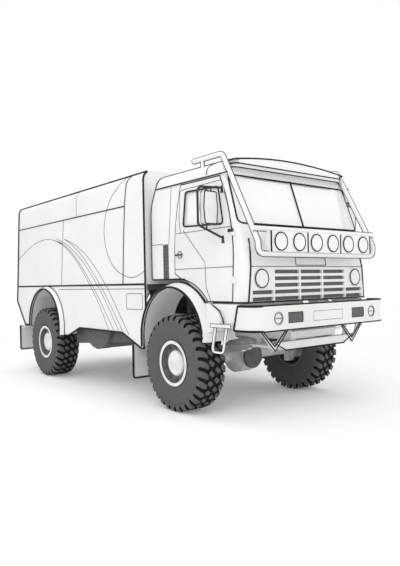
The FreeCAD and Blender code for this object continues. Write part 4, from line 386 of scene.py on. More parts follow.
def grain(tree, size_mm, strength):
    """Fine relief of a skin or a coat, up to 1 mm deep."""
    noise = add(tree, "ShaderNodeTexNoise", {"Vector": place(tree, size_mm), "Scale": 1.0, "Detail": 4.0})
    return add(tree, "ShaderNodeBump", {"Height": noise.outputs["Fac"], "Strength": strength,
                                        "Distance": 0.001}).outputs["Normal"]


def flutes(tree, strength):
    """Vertical flutes 24 mm apart, pressed into lamp glass."""
    wave = add(tree, "ShaderNodeTexWave", {"Vector": place(tree, 12), "Scale": 0.16, "Distortion": 0.0},
               bands_direction="Y")
    return add(tree, "ShaderNodeBump", {"Height": wave.outputs["Fac"], "Strength": strength,
                                        "Distance": 0.002}).outputs["Normal"]


# Materials

def new_material(name, values):
    """An empty principled material and its tree and shader."""
    made = bpy.data.materials.new(name)
    tree = emptied(made)
    shader = add(tree, "ShaderNodeBsdfPrincipled", values)
    add(tree, "ShaderNodeOutputMaterial", {"Surface": shader.outputs["BSDF"]})
    return made, tree, shader


def mottled(name, values, pattern, relief=None):
    """A material in a soft mottle (size in mm, two hex colours), with a grain (size in mm, strength)."""
    made, tree, shader = new_material(name, values)
    feed(shader, {"Base Color": mottle(tree, *pattern)})
    if relief:
        feed(shader, {"Normal": grain(tree, *relief)})
    return made


def sprayed(name):
    """Two-pack enamel, sprayed: a smooth coat with a faint orange peel and a soft gloss."""
    made, tree, shader = new_material(name, {"Roughness": 0.42, "IOR": 1.5, "Coat Weight": 0.25,
                                             "Coat Roughness": 0.2})
    feed(shader, {"Normal": grain(tree, 6, 0.05)})
    return made, tree, shader


def enamel(name):
    """White enamel of the body, the cab and the frame."""
    made, tree, shader = sprayed(name)
    feed(shader, {"Base Color": mottle(tree, 900, "F2F2F0", "F8F8F6")})
    return made


def door_enamel(name):
    """The cab's enamel, with the mirror arms and the door grip dipped in black plastic."""
    made, tree, shader = sprayed(name)
    arms = block_mask(tree, (2.5, 3.2), (DOOR_SIDE + 0.013, 1.6), (2.14, 3.0))
    head = block_mask(tree, (2.5, 3.2), (1.243, 1.457), (2.363, 2.747))
    grip = block_mask(tree, (1.9, 2.2), (DOOR_SIDE + 0.0105, 1.2), (2.0, 2.09))
    bare = add(tree, "ShaderNodeMath", {0: arms, 1: head}, operation="SUBTRACT")
    dark = add(tree, "ShaderNodeMath", {0: bare.outputs[0], 1: grip}, operation="MAXIMUM")
    colour = stepped(tree, dark.outputs[0], {0.0: "F4F4F2", 0.5: "0C0C0C"})
    feed(shader, {"Base Color": tinted(tree, colour, 900, "F6F6F4")})
    return made


def bumper_enamel(name):
    """The body enamel, with the thin outline of a blank number plate painted in the middle."""
    made, tree, shader = sprayed(name)
    low, high = PLATE_HEIGHTS
    outer, inner = (block_mask(tree, (3.5, 3.6), (-1.0, PLATE_HALF + edge), (low - edge, high + edge))
                    for edge in (0.003, -0.003))
    line = add(tree, "ShaderNodeMath", {0: outer, 1: inner}, operation="SUBTRACT")
    colour = stepped(tree, line.outputs[0], {0.0: "F4F4F2", 0.5: "5A5A5C"})
    feed(shader, {"Base Color": tinted(tree, colour, 900, "F6F6F4")})
    return made


def marker_lens(name):
    """Bumper lamps: clear pressed glass on the round ones, smoked glass on the long ones inside them."""
    made, tree, shader = new_material(name, {"Roughness": 0.2, "IOR": 1.5})
    smoked = block_mask(tree, (3.0, 3.6), (-1.0, 0.76), (1.0, 1.5))
    colour = stepped(tree, smoked, {0.0: "F4F5F6", 0.5: "58585A"})
    feed(shader, {"Base Color": tinted(tree, colour, 60, "F0F0F0"), "Normal": flutes(tree, 0.2)})
    return made


def lamp_lens(name):
    """Pressed lamp glass over a bright reflector."""
    made, tree, shader = new_material(name, {"Roughness": 0.15, "IOR": 1.5})
    feed(shader, {"Base Color": mottle(tree, 60, "EDEFF0", "F8F8F8"), "Normal": flutes(tree, 0.25)})
    return made


def chassis_black(name):
    """Brushed-on chassis paint over cast and rolled steel: dull grey with a coarse skin."""
    return mottled(name, {"Roughness": 0.7}, (60, "58585A", "646466"), (5, 0.25))


def axle_paint(name):
    """White painted cast axle casing with a dark grey cover on the differential."""
    made, tree, shader = new_material(name, {"Roughness": 0.5})
    axes = object_axes(tree)
    out = distance_from(tree, axes["Y"], -0.1, axes["Z"], HUB_HEIGHT)
    near = add(tree, "ShaderNodeMath", {0: out, 1: 0.2}, operation="LESS_THAN")
    ahead = add(tree, "ShaderNodeMath", {0: axes["X"], 1: AXLES["front"] + 0.236}, operation="GREATER_THAN")
    cover = add(tree, "ShaderNodeMath", {0: ahead.outputs[0], 1: near.outputs[0]}, operation="MULTIPLY")
    colour = stepped(tree, cover.outputs[0], {0.0: "EAEAE8", 0.5: "5E5E60"})
    feed(shader, {"Base Color": tinted(tree, colour, 80, "E8E8E8"), "Normal": grain(tree, 7, 0.3)})
    return made


def wheel_paint(name):
    """Pressed steel wheel: white ring and hub cap with thin black lines of painted edge shade at their
    edges, and a dark grey dish and inner side.
    """
    made, tree, shader = new_material(name, {"Roughness": 0.45})
    # The 101010 bands at radii 0.165, 0.247 and 0.296 are painted shade along the edges of the hub cap, the
    # dish and the ring.
    rings = stepped(tree, hub_radius(tree), {0.0: "F6F6F4", 0.1650: "101010", 0.1710: "606062",
                                             0.2470: "101010", 0.2535: "F6F6F4", 0.2960: "101010"})
    outside = block_mask(tree, (-3.0, 3.0), (HUB_SIDE + 0.02, 1.4), (0.0, 1.3))
    shown = add(tree, "ShaderNodeMix", {"Factor": outside, 6: linear("5C5C5E"), 7: rings}, data_type="RGBA")
    colour = tinted(tree, shown.outputs[2], 120, "F0F0F0")
    feed(shader, {"Base Color": colour, "Normal": grain(tree, 5, 0.08)})
    return made


def tyre_rubber(name):
    """Moulded tyre rubber, worn grey: matt with fine mould rings 7 mm apart."""
    made, tree, shader = new_material(name, {"Roughness": 0.85})
    phase = add(tree, "ShaderNodeMath", {0: hub_radius(tree), 1: 900.0}, operation="MULTIPLY")
    wave = add(tree, "ShaderNodeMath", {0: phase.outputs[0]}, operation="SINE")
    bump = add(tree, "ShaderNodeBump", {"Height": wave.outputs[0], "Strength": 0.1, "Distance": 0.001})
    feed(shader, {"Base Color": mottle(tree, 40, "595959", "626262"), "Normal": bump.outputs["Normal"]})
    return made


def groove_painted_shade(name):
    """Deep tread grooves and lug sides: the tread's own rubber painted near black, as painted shade where
    light hardly reaches.
    """
    return mottled(name, {"Roughness": 0.95}, (30, "0C0C0C", "141414"))


def carcass_rubber(name):
    """Tyre casing: grey side wall, and near black between the lugs of the shoulder and tread, which is
    painted shade in the grooves.
    """
    made, tree, shader = new_material(name, {"Roughness": 0.88})
    # Past a radius of 0.5485 the casing lies in the grooves between the lugs: the near black there is
    # painted shade.
    colour = stepped(tree, hub_radius(tree), {0.0: "5E5E5E", 0.5485: "0E0E0E"})
    feed(shader, {"Base Color": tinted(tree, colour, 40, "EDEDED"), "Normal": grain(tree, 4, 0.15)})
    return made


def seal_rubber_and_edge_shade(name):
    """Extruded rubber bead: black with a dull sheen. The same black also lays the painted edge shade along
    the light bar's tubes and the steps.
    """
    return mottled(name, {"Roughness": 0.85}, (25, "060606", "0E0E0E"), (2, 0.1))


def pinstripe(name):
    """Thin painted line: a mid grey enamel laid on the white coat."""
    return mottled(name, {"Roughness": 0.5}, (50, "404043", "4A4A4D"))


def crease_shadow_paint(name):
    """Painted shadow of a pressed crease in the sheet, laid as a pale grey line."""
    return mottled(name, {"Roughness": 0.5}, (50, "A2A2A4", "AAAAAC"))


def glass_painted_room_reflection(name):
    """Toughened glass painted near white: a painted reflection of the bright room, which also hides the
    inside.
    """
    values = {"Roughness": 0.08, "IOR": 1.52, "Transmission Weight": 0.04}
    # The near-white base colour is painted reflection of the white room.
    return mottled(name, values, (700, "F8F9FA", "FDFDFD"))


def moulded_plastic(name):
    """Grained ABS, injection moulded: dull grey with a fine leather-like grain."""
    return mottled(name, {"Roughness": 0.6, "IOR": 1.53}, (45, "5A5A5C", "656567"), (3, 0.2))


def silvered_glass(name):
    """Mirror glass: silver behind a clear sheet."""
    return mottled(name, {"Roughness": 0.04, "Metallic": 1.0}, (200, "DADCDE", "E4E6E8"))


def seat_cloth(name):
    """Woven polyester seat cloth: a plain weave drawn 4 mm apart so that it shows."""
    made, tree, shader = new_material(name, {"Roughness": 0.92, "Sheen Weight": 0.2})
    vector = place(tree, 6)
    warp, weft = (add(tree, "ShaderNodeTexWave", {"Vector": vector, "Scale": 0.5}, bands_direction=way)
                  for way in ("X", "Z"))
    both = add(tree, "ShaderNodeMath", {0: warp.outputs["Fac"], 1: weft.outputs["Fac"]}, operation="ADD")
    bump = add(tree, "ShaderNodeBump", {"Height": both.outputs[0], "Strength": 0.3, "Distance": 0.001})
    feed(shader, {"Base Color": mottle(tree, 25, "47484B", "55565A"), "Normal": bump.outputs["Normal"]})
    return made


MATERIALS = {
    "enamel": enamel, "chassis": chassis_black, "axle": axle_paint, "rim": wheel_paint,
    "rubber": tyre_rubber, "groove": groove_painted_shade, "carcass": carcass_rubber, "seal": seal_rubber_and_edge_shade,
    "stripe": pinstripe, "crease": crease_shadow_paint, "glass": glass_painted_room_reflection, "lens": lamp_lens,
    "plastic": moulded_plastic, "mirror": silvered_glass, "cloth": seat_cloth, "door": door_enamel,
    "bumper": bumper_enamel, "marker": marker_lens,
}

CAD_FINISHES = {
    "enamel": ("engine", "frame", "leaf_springs", "dampers", "knuckle_right", "knuckle_left", "skid_plate",
               "side_steps", "side_skirts", "front_fenders", "cargo_sides", "cargo_front_wall", "cargo_roof",
               "tail_frame", "cab_shell", "cab_roof", "front_panel", "light_bar", "cargo_door_right",
               "cargo_door_left", "mud_flaps"),
    "bumper": ("bumper",),
    "door": ("door_right", "door_left"),
    "marker": ("bumper_lamps",),
    "chassis": ("rear_axle", "driveline", "fuel_tanks", "cargo_floor"),
    "axle": ("front_axle",),
    "glass": ("windscreen", "door_glass_right", "door_glass_left"),
    "lens": ("cab_lamps",),
    "plastic": ("grille_backing", "dashboard"),
    "cloth": ("seats",),
    "rim": ("rim_front_right", "rim_front_left", "rim_rear_right", "rim_rear_left"),
    "rubber": ("tyre_front_right", "tyre_front_left", "tyre_rear_right", "tyre_rear_left"),
}


def finish_of(name):
    """The named material, made at its first use."""
    make = MATERIALS[name]
    return bpy.data.materials.get(make.__name__) or make(make.__name__)


# Pieces

def baked(carrier, name):
    """The mesh of a carrier object with its bevel or modifier applied; the carrier itself goes."""
    bpy.context.scene.collection.objects.link(carrier)
    graph = bpy.context.evaluated_depsgraph_get()
    graph.update()
    mesh = bpy.data.meshes.new_from_object(carrier.evaluated_get(graph))
    mesh.name = name
    bpy.data.objects.remove(carrier)
    return mesh


def into_scene(name, mesh, body, finish=None):
    """A piece at the origin, riding on a body, in one finish or in those its mesh has."""
    piece = bpy.data.objects.new(name, mesh)
    bpy.context.scene.collection.objects.link(piece)
    if finish:
        mesh.materials.clear()
        mesh.materials.append(finish_of(finish))
    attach(piece, body)
    return piece


def beads(name, runs, radius, body, finish="seal", loops=(), smooth=False):
    """Round beads along open runs of points and round closed loops."""
    curve = bpy.data.curves.new(name, "CURVE")
    curve.dimensions = "3D"
    curve.bevel_depth = radius
    curve.bevel_resolution = 1
    curve.resolution_u = 8
    curve.use_fill_caps = True
    for closed, group in ((False, runs), (True, loops)):
        for points in group:
            spline = curve.splines.new("NURBS" if smooth else "POLY")
            spline.points.add(len(points) - 1)
            for target, point in zip(spline.points, points):
                target.co = (*point, 1.0)
            spline.use_cyclic_u = closed
            if smooth:
                spline.order_u = 3
                spline.use_endpoint_u = not closed
    mesh = baked(bpy.data.objects.new(name + "_path", curve), name)
    return into_scene(name, mesh, body, finish)


def mesh_of(name, build):
    """A mesh made by a function that fills a bmesh, with its normals made outward."""
    shape = bmesh.new()
    build(shape)
    bmesh.ops.remove_doubles(shape, verts=shape.verts, dist=1e-6)
    bmesh.ops.recalc_face_normals(shape, faces=shape.faces)
    mesh = bpy.data.meshes.new(name)
    shape.to_mesh(mesh)
    shape.free()
    return mesh


def skin(shape, rows):
    """A solid through rows of points: the bands of faces between the rows, and the two ends."""
    rows = [[shape.verts.new(point) for point in row] for row in rows]
    bands = []
    for here, there in zip(rows, rows[1:]):
        corners = zip(here, here[1:] + here[:1], there[1:] + there[:1], there)
        bands.append([shape.faces.new(face) for face in corners])
    return bands, (shape.faces.new(rows[0][::-1]), shape.faces.new(rows[-1]))


def round_axle(along, radius, angle):
    """A point at an angle round the Y axis."""
    return (radius * math.sin(angle), along, radius * math.cos(angle))


def lathe(shape, profile, segments):
    """Turn a closed profile of (along, radius) points round the Y axis."""
    rings = []
    for i in range(segments):
        a = 2 * math.pi * i / segments
        rings.append([shape.verts.new(round_axle(y, r, a)) for y, r in profile])
    for here, there in zip(rings, rings[1:] + rings[:1]):
        for corners in zip(here, there, there[1:] + there[:1], here[1:] + here[:1]):
            shape.faces.new(corners).smooth = True


def ring_tree():
    """Geometry node tree: repeat a shape round the Y axis, then move it to its hub."""
    tree = bpy.data.node_groups.get("RingOfShapes")
    if tree:
        return tree
    tree = bpy.data.node_groups.new("RingOfShapes", "GeometryNodeTree")
    face = tree.interface
    for name, kind in (("Geometry", "Geometry"), ("Count", "Int"), ("Hub", "Vector"), ("Turn", "Vector"),
                       ("Finish", "Material"), ("Flank finish", "Material")):
        face.new_socket(name, in_out="INPUT", socket_type="NodeSocket" + kind)
    face.new_socket("Geometry", in_out="OUTPUT", socket_type="NodeSocketGeometry")
    start = add(tree, "NodeGroupInput").outputs
    points = add(tree, "GeometryNodePoints", {"Count": start["Count"]})
    index = add(tree, "GeometryNodeInputIndex")
    share = add(tree, "ShaderNodeMath", {0: index.outputs[0], 1: start["Count"]}, operation="DIVIDE")
    angle = add(tree, "ShaderNodeMath", {0: share.outputs[0], 1: 2 * math.pi}, operation="MULTIPLY")
    euler = add(tree, "ShaderNodeCombineXYZ", {"Y": angle.outputs[0]})
    copies = add(tree, "GeometryNodeInstanceOnPoints", {
        "Points": points.outputs[0], "Instance": start["Geometry"], "Rotation": euler.outputs[0]})
    real = add(tree, "GeometryNodeRealizeInstances", {"Geometry": copies.outputs[0]})
    moved = add(tree, "GeometryNodeTransform", {
        "Geometry": real.outputs[0], "Translation": start["Hub"], "Rotation": start["Turn"]})
    painted = add(tree, "GeometryNodeSetMaterial", {
        "Geometry": moved.outputs[0], "Material": start["Finish"]})
    flank = add(tree, "GeometryNodeInputNamedAttribute", {"Name": "flank"}, data_type="BOOLEAN")
    flanked = add(tree, "GeometryNodeSetMaterial", {
        "Geometry": painted.outputs[0], "Selection": flank.outputs[0], "Material": start["Flank finish"]})
    add(tree, "NodeGroupOutput", {"Geometry": flanked.outputs[0]})
    return tree


def ringed(name, mesh, count, hub, side, finish, flank_finish=None):
    """The mesh repeated round a wheel by the ring tree, its faces of slot 1 in the flank finish."""
    flags = mesh.attributes.new("flank", "BOOLEAN", "FACE")
    for face in mesh.polygons:
        flags.data[face.index].value = face.material_index == 1
    carrier = bpy.data.objects.new(name + "_seed", mesh)
    modifier = carrier.modifiers.new("Ring", "NODES")
    modifier.node_group = ring_tree()
    values = {"Count": count, "Hub": hub, "Turn": (0, 0, math.pi if side < 0 else 0),
              "Finish": finish_of(finish), "Flank finish": finish_of(flank_finish or finish)}
    for item in modifier.node_group.interface.items_tree:
        if item.in_out == "INPUT" and item.name in values:
            modifier[item.identifier] = values[item.name]
    return baked(carrier, name)


def merged(name, meshes):
    """One mesh from several, keeping each one's materials."""
    shape = bmesh.new()
    materials = []
    for mesh in meshes:
        start = len(shape.faces)
        shape.from_mesh(mesh)
        shape.faces.ensure_lookup_table()
        for face in shape.faces[start:]:
            face.material_index += len(materials)
        materials += list(mesh.materials)
    made = bpy.data.meshes.new(name)
    shape.to_mesh(made)
    shape.free()
    for material in materials:
        made.materials.append(material)
    return made


def wheels():
    """The name, hub and side of every wheel."""
    for (end, along), (word, side) in product(AXLES.items(), SIDES.items()):
        yield f"{end}_{word}", (along, HUB_SIDE * side, HUB_HEIGHT), side


# Sizes

class TyreSizes(bpy.types.PropertyGroup):
    """Sizes of the tyre tread."""

    lug_count: IntProperty(name="Lugs", description="Lugs round each shoulder", default=30, min=12)
    groove: FloatProperty(name="Groove", description="Depth of the tread grooves", default=0.028,
                          unit="LENGTH")
    lug_width: FloatProperty(name="Lug width", description="Width of a shoulder lug", default=0.080,
                             unit="LENGTH")
    lug_slant: FloatProperty(name="Lug slant", description="How far a lug's inner end leans along the tread",
                             default=0.050, unit="LENGTH")
    block_half: FloatProperty(name="Block half width", description="Half the width of a middle block",
                              default=0.050, unit="LENGTH")


class StripeSizes(bpy.types.PropertyGroup):
    """Sizes of beads and stripes."""

    edge: FloatProperty(name="Edge", description="Radius of the mouldings along the load body's outer edges",
                        default=0.020, unit="LENGTH")
    moulding: FloatProperty(name="Moulding", default=0.015, unit="LENGTH",
                            description="Radius of the mouldings along arches and body joints")
    seal: FloatProperty(name="Seal", default=0.0115, unit="LENGTH",
                        description="Radius of the seals round the windscreen and the cab's edges")
    body_gap: FloatProperty(name="Body gap", default=0.0100, unit="LENGTH",
                            description="Radius of the beads over the load body's panel gaps")
    gap: FloatProperty(name="Gap", default=0.0080, unit="LENGTH",
                       description="Radius of the beads over the cab's panel gaps")
    # Along the light bar's tubes this bead is painted edge shade; round the mirror heads and the rear
    # opening it is trim and seal.
    trim: FloatProperty(name="Trim", description="Radius of the black trim along tubes and the mirror heads",
                        default=0.007, unit="LENGTH")
    body_line: FloatProperty(name="Body line", description="Radius of the painted lines on the load body",
                             default=0.005, unit="LENGTH")
    line: FloatProperty(name="Line", description="Radius of the painted lines on the cab", default=0.0045,
                        unit="LENGTH")


class StageSizes(bpy.types.PropertyGroup):
    """Floor and camera."""

    floor_colour: FloatVectorProperty(name="Floor", description="Colour of the floor", subtype="COLOR",
                                      size=3, default=(0.95, 0.95, 0.95), min=0, max=1)
    camera_place: FloatVectorProperty(name="Camera", description="Where the camera stands", subtype="XYZ",
                                      default=(7.911, -5.539, 1.676))
    camera_yaw: FloatProperty(name="Yaw", description="Heading of the camera", default=2.4654,
                              subtype="ANGLE")
    camera_pitch: FloatProperty(name="Pitch", description="Tilt of the camera", default=-0.0007,
                                subtype="ANGLE")
    camera_roll: FloatProperty(name="Roll", description="Roll of the camera", default=-0.0205,
                               subtype="ANGLE")
    focal_pixels: FloatProperty(name="Focal length", description="In pixels of the 566 pixel side",
                                default=556.0)


# Steps

class TRUCK_OT_paint(bpy.types.Operator):
    """Give every solid of the frame its finish."""

    bl_idname = "truck.paint"
    bl_label = "Paint"

    def execute(self, context):
        for name, members in CAD_FINISHES.items():
            for member in members:
                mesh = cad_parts[member].data
                mesh.materials.clear()
                mesh.materials.append(finish_of(name))
        return {"FINISHED"}


class TRUCK_OT_tyres(bpy.types.Operator):
    """Build the four block-tread tyres over the plain ones."""

    bl_idname = "truck.tyres"
    bl_label = "Tyres"

    def lug(self, shape, stations):
        """A bar through stations of (along, radius, shift, half width, lean), its base one groove below."""
        groove = bpy.context.scene.tyre_sizes.groove
        rows = []
        for y, r, shift, half, lean in stations:
            row = []
            for side, depth in ((-1, 0.0), (1, 0.0), (1, groove), (-1, groove)):
                along = y - math.copysign(depth * math.sin(lean), y)
                radius = r - depth * math.cos(lean)
                row.append(round_axle(along, radius, (shift + side * half) / TYRE_RADIUS))
            rows.append(row)
        bands, ends = skin(shape, rows)
        # Slot 1, the sides and inner end of the lug, takes the groove finish: painted shade on the same
        # rubber as the top.
        ends[1].material_index = 1
        for band in bands:
            band[1].material_index = 1
            band[3].material_index = 1

    def block(self, shape, y, phase):
        """A middle block with rounded corners, leaning as the grooves between the lugs do."""
        sizes = bpy.context.scene.tyre_sizes
        half = sizes.block_half
        corners = [(-half, -0.15 * half), (-0.3 * half, -half), (half, 0.15 * half), (0.3 * half, half)]
        outline = rounded_corners(corners, half * 0.3, 3)
        rows = [[round_axle(y + u, radius, (phase + v) / TYRE_RADIUS) for u, v in outline]
                for radius in (TYRE_RADIUS, TYRE_RADIUS - sizes.groove)]
        bands, ends = skin(shape, rows)
        # Slot 1, the sides and base of the block, takes the groove finish: painted shade.
        for face in [ends[1], *bands[0]]:
            face.material_index = 1

    def tread(self, shape):
        """One shoulder lug for each side and the two middle blocks between them."""
        sizes = bpy.context.scene.tyre_sizes
        pitch = 2 * math.pi * TYRE_RADIUS / sizes.lug_count
        half = sizes.lug_width / 2
        slant = sizes.lug_slant
        stations = [
            (0.2095, 0.546, 0.0, pitch / 2 * 0.999, 1.5),
            (0.2095, 0.555, 0.0, pitch / 2 * 0.93, 1.45),
            (0.2090, 0.563, 0.0, half * 1.18, 1.4),
            (0.2075, 0.576, 0.0, half * 1.05, 1.2),
            (0.2020, 0.595, 0.0, half, 1.0),
            (0.1920, 0.612, 0.08, half, 0.7),
            (0.1780, 0.624, 0.20, half, 0.4),
            (0.1550, 0.6295, 0.42, half * 0.97, 0.1),
            (0.1200, 0.630, 0.80, half * 0.9, 0.0),
            (0.0980, 0.630, 1.0, half * 0.5, 0.0),
        ]
        for side in (-1, 1):
            outer = -side * (pitch / 4 - slant / 2)
            self.lug(shape, [(y * side, r, outer - side * slant * share, wide, lean)
                             for y, r, share, wide, lean in stations])
        inner = pitch / 4 + slant / 2
        self.block(shape, 0.049, -inner / 3)
        self.block(shape, -0.049, inner / 3)

    def casing(self, shape):
        """The tyre without its tread, from the crown over the side wall to the bead on the rim."""
        half = [(0.0, 0.603), (0.120, 0.602), (0.155, 0.597), (0.172, 0.588), (0.181, 0.575), (0.186, 0.560),
                (0.2088, 0.548), (0.2095, 0.500), (0.209, 0.450), (0.205, 0.395), (0.197, 0.345),
                (0.187, 0.312), (0.1775, 0.3025), (0.171, 0.300), (RIM_HALF, 0.2625)]
        lathe(shape, half + [(-y, r) for y, r in reversed(half[1:])], 96)

    def execute(self, context):
        count = context.scene.tyre_sizes.lug_count
        for wheel, hub, side in wheels():
            name = f"tyre_tread_{wheel}"
            seed = mesh_of("lug_seed", self.tread)
            # Lug tops in rubber; lug and block sides in the groove finish, which is painted shade.
            lugs = ringed(name + "_lugs", seed, count, hub, side, "rubber", "groove")
            casing = mesh_of("casing", self.casing)
            casing.transform(Matrix.Translation(hub) @ Matrix.Rotation(math.pi if side < 0 else 0, 4, "Z"))
            casing.materials.append(finish_of("carcass"))
            piece = into_scene(name, merged(name, [casing, lugs]), f"wheel_{wheel}")
            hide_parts(f"tyre_{wheel}")
        return {"FINISHED"}


class TRUCK_OT_wheel_nuts(bpy.types.Operator):
    """Put a ring of nuts on each wheel's dish."""

    bl_idname = "truck.wheel_nuts"
    bl_label = "Wheel nuts"

    def nut(self, shape):
        """A six-sided nut with the end of its stud."""
        sections = ((0.132, 0.016), (0.150, 0.016), (0.152, 0.013), (0.152, 0.009), (0.164, 0.009))
        skin(shape, [on_side(circle((0.0, NUT_CIRCLE), r, 6), y) for y, r in sections])

    def execute(self, context):
        for wheel, hub, side in wheels():
            name = f"wheel_nuts_{wheel}"
            mesh = ringed(name, mesh_of("nut", self.nut), NUTS, hub, side, "plastic")
            into_scene(name, mesh, f"wheel_{wheel}")
        return {"FINISHED"}


class TRUCK_OT_seams(bpy.types.Operator):
    """Run seals and beads along panel gaps, windows, arches and edges."""

    bl_idname = "truck.seams"
    bl_label = "Seams and seals"

    def execute(self, context):
        sizes = context.scene.stripe_sizes
        self.body_edges(sizes)
        self.body_joints(sizes)
        self.lower_beads(sizes)
        self.rear_seals(sizes)
        into_scene("roof_end_panel", mesh_of("roof_end_panel", self.roof_end), "chassis",
                   "enamel")
        into_scene("bumper_flange", mesh_of("bumper_flange", self.bumper_flange), "chassis",
                   "enamel")
        # The crease of the load body's side is not modelled; a pale grey bead paints its shadow.
        crease = on_side([(-1.384, 1.686), (-1.318, 2.38), (-1.255, 2.815)], BODY_SIDE)
        beads("body_creases", both_sides(crease), sizes.body_gap, "chassis", "crease", smooth=True)
        self.cab_edges(sizes)
        self.cab_gaps(sizes)
        post = [(nose_at(z) + 0.002, 0.0, z) for z in (2.366, 2.982)]
        beads("screen_post_strip", [post], 0.013, "cab")
        self.door_seals(sizes)
        return {"FINISHED"}

    def body_edges(self, sizes):
        """Heavy mouldings round the rear edge and along the roof of the load body."""
        tail = [(-2.75, REAR_FLARE_LOW), (-3.11, REAR_FLARE_LOW), (BODY_END + sizes.edge, 1.372), TAIL[0],
                (tail_at(SIDE_TOP), SIDE_TOP)]
        edge = on_side(tail, BODY_SIDE)
        edge += [body_shoulder(tail_at(SIDE_TOP + 0.0014 * turn), turn) for turn in range(10, 51, 10)]
        edge += [body_shoulder(tail_at(3.2) + 0.06, 57), body_shoulder(BODY_FRONT, 59)]
        beads("body_edge_mouldings", both_sides(edge), sizes.edge, "chassis")

    def body_joints(self, sizes):
        """Mouldings along the arches, the skirt, the flaps and the bumper, and beads over panel gaps."""
        front_rim = arc(FRONT_ARCH, FRONT_RIM + 0.001, 40, 180, 32)
        front_rim.append((FRONT_ARCH[0] - FRONT_RIM, SKIRT_LOW))
        joint = [(tail_at(BODY_SEAM), BODY_SEAM), (BODY_FRONT, BODY_SEAM)]
        skirt = [(-1.3, SKIRT_LOW), (-1.14, SKIRT_LOW), (-0.705, 0.955), (0.685, 0.955), (1.195, 0.763),
                 (1.275, 0.763), (1.275, 0.95)]
        skirt += arc(FRONT_ARCH, FRONT_RIM, 180, 156.6, 6) + [(BODY_FRONT, SIDE_TOP)]
        front_edge = [body_shoulder(BODY_FRONT, turn) for turn in range(10, 61, 10)]
        mouldings = [on_side(front_rim, 1.18), on_side(joint, BODY_SIDE),
                     on_side(skirt, BODY_SIDE) + front_edge]
        for along, low, high in ((1.052, 0.32, 0.80), (-3.278, 0.39, 0.88)):
            flap = softened([(1.295, high), (1.295, low), (0.895, low), (0.895, high)], 0.04)
            mouldings.append(on_front(flap, along))
        front, end = (BUMPER_LINE, BUMPER_SIDE), (BUMPER_LINE, 0.0)
        upper = on_plan(softened([(3.24, BUMPER_SIDE), front, end], 0.2, 8), 1.397)
        lower = on_plan(softened([end, front, (3.168, BUMPER_SIDE)], 0.2, 8), 1.114)
        mouldings += [softened([lower[-2], lower[-1], upper[0], upper[1]], 0.02, 4), upper[1:], lower[:-1]]

        rear_rim = [(REAR_ARCH[0] + REAR_RIM, SKIRT_LOW)] + arc(REAR_ARCH, REAR_RIM, 0, 180, 40)
        rear_rim.append((REAR_ARCH[0] - REAR_RIM, REAR_FLARE_LOW))
        upper_seam = [(tail_at(UPPER_SEAM), UPPER_SEAM), (0.822, UPPER_SEAM)]
        seam = on_side([(0.735, BODY_SEAM), (0.771, 2.25), (0.821, UPPER_SEAM), (0.85, 3.0),
                        (0.885, SIDE_TOP)], BODY_SIDE)
        seam += [body_shoulder(0.885 + 0.0016 * turn, turn) for turn in range(12, 61, 12)]
        gaps = [on_side(rear_rim, BODY_SIDE), on_side(upper_seam, BODY_SIDE), seam]
        for arch, ahead, behind in ((FRONT_ARCH, 1.07, SKIRT_LOW), (REAR_ARCH, SKIRT_LOW, REAR_FLARE_LOW)):
            start, stop = (arch[0] + ARCH_INNER, ahead), (arch[0] - ARCH_INNER, behind)
            mouldings.append(on_side([start] + arc(arch, ARCH_LIP, 0, 180, 40) + [stop], ARCH_SIDE))
            rolled = arc(arch, ARCH_INNER, 100, 180, 16) + [stop]
            gaps.append(on_side(rolled, ARCH_SIDE - ARCH_ROLL))
        guard = on_front([(-0.76, 0.948), (-0.56, 0.842), (0.56, 0.842), (0.76, 0.948)], 3.331)
        beads("arch_and_bumper_mouldings", both_sides(*mouldings), sizes.moulding, "chassis")
        beads("panel_gap_beads", both_sides(*gaps), sizes.body_gap, "chassis", loops=[guard])

    def lower_beads(self, sizes):
        """Beads round the tow brackets and down the nose of the fenders."""
        tow = [(1.005, 1.119), (0.745, 0.845), (0.485, 1.119), (0.515, 1.119), (0.745, 0.90), (0.975, 1.119)]
        sharp = [point for point in tow for repeat in range(2)]
        nose = [(2.66, 1.188, 1.42), (2.752, 1.19, 1.388), (2.833, 1.193, 1.345), (2.88, 1.205, 1.32),
                (2.921, 1.222, 1.288), (2.924, 1.201, 1.234), (2.924, 1.189, 1.175)]
        runs = both_sides(on_front(sharp, 3.331), nose)
        beads("fender_nose_beads", runs, sizes.gap, "chassis", smooth=True)

    def rear_seals(self, sizes):
        """Seals round the rear opening and between the two rear doors."""
        opening = [(tail_at(z) + 0.003, y, z) for y, z in ((0.0, 1.673), (1.206, 1.673), (1.206, 3.136),
                                                          (0.0, 3.136))]
        beads("cargo_opening_seal", both_sides(opening), sizes.trim, "chassis")
        meeting = [(tail_at(z) + 0.003, 0.0, z) for z in (1.68, 3.13)]
        beads("cargo_door_seal", [meeting], sizes.trim, "cargo_door_right")

    def roof_end(self, shape):
        """Plate that closes the roof's hollow above the rear doors."""
        corner = arc((BODY_SIDE - BODY_SHOULDER, SIDE_TOP), 0.098, 0, 90, 8)
        outline = corner + [(-y, z) for y, z in corner[::-1]]
        skin(shape, [on_front(outline, along) for along in (-3.292, -3.272)])

    def bumper_flange(self, shape):
        """Flange inside the bumper's top edge, clear of the tilting cab."""
        rim = softened([(3.30, -1.225), (3.505, -1.225), (3.505, 1.225), (3.30, 1.225)], 0.18)
        outline = rim + [(3.30, 1.19), (3.41, 1.19), (3.41, -1.19), (3.30, -1.19)]
        skin(shape, [on_plan(outline, height) for height in (1.376, 1.386)])

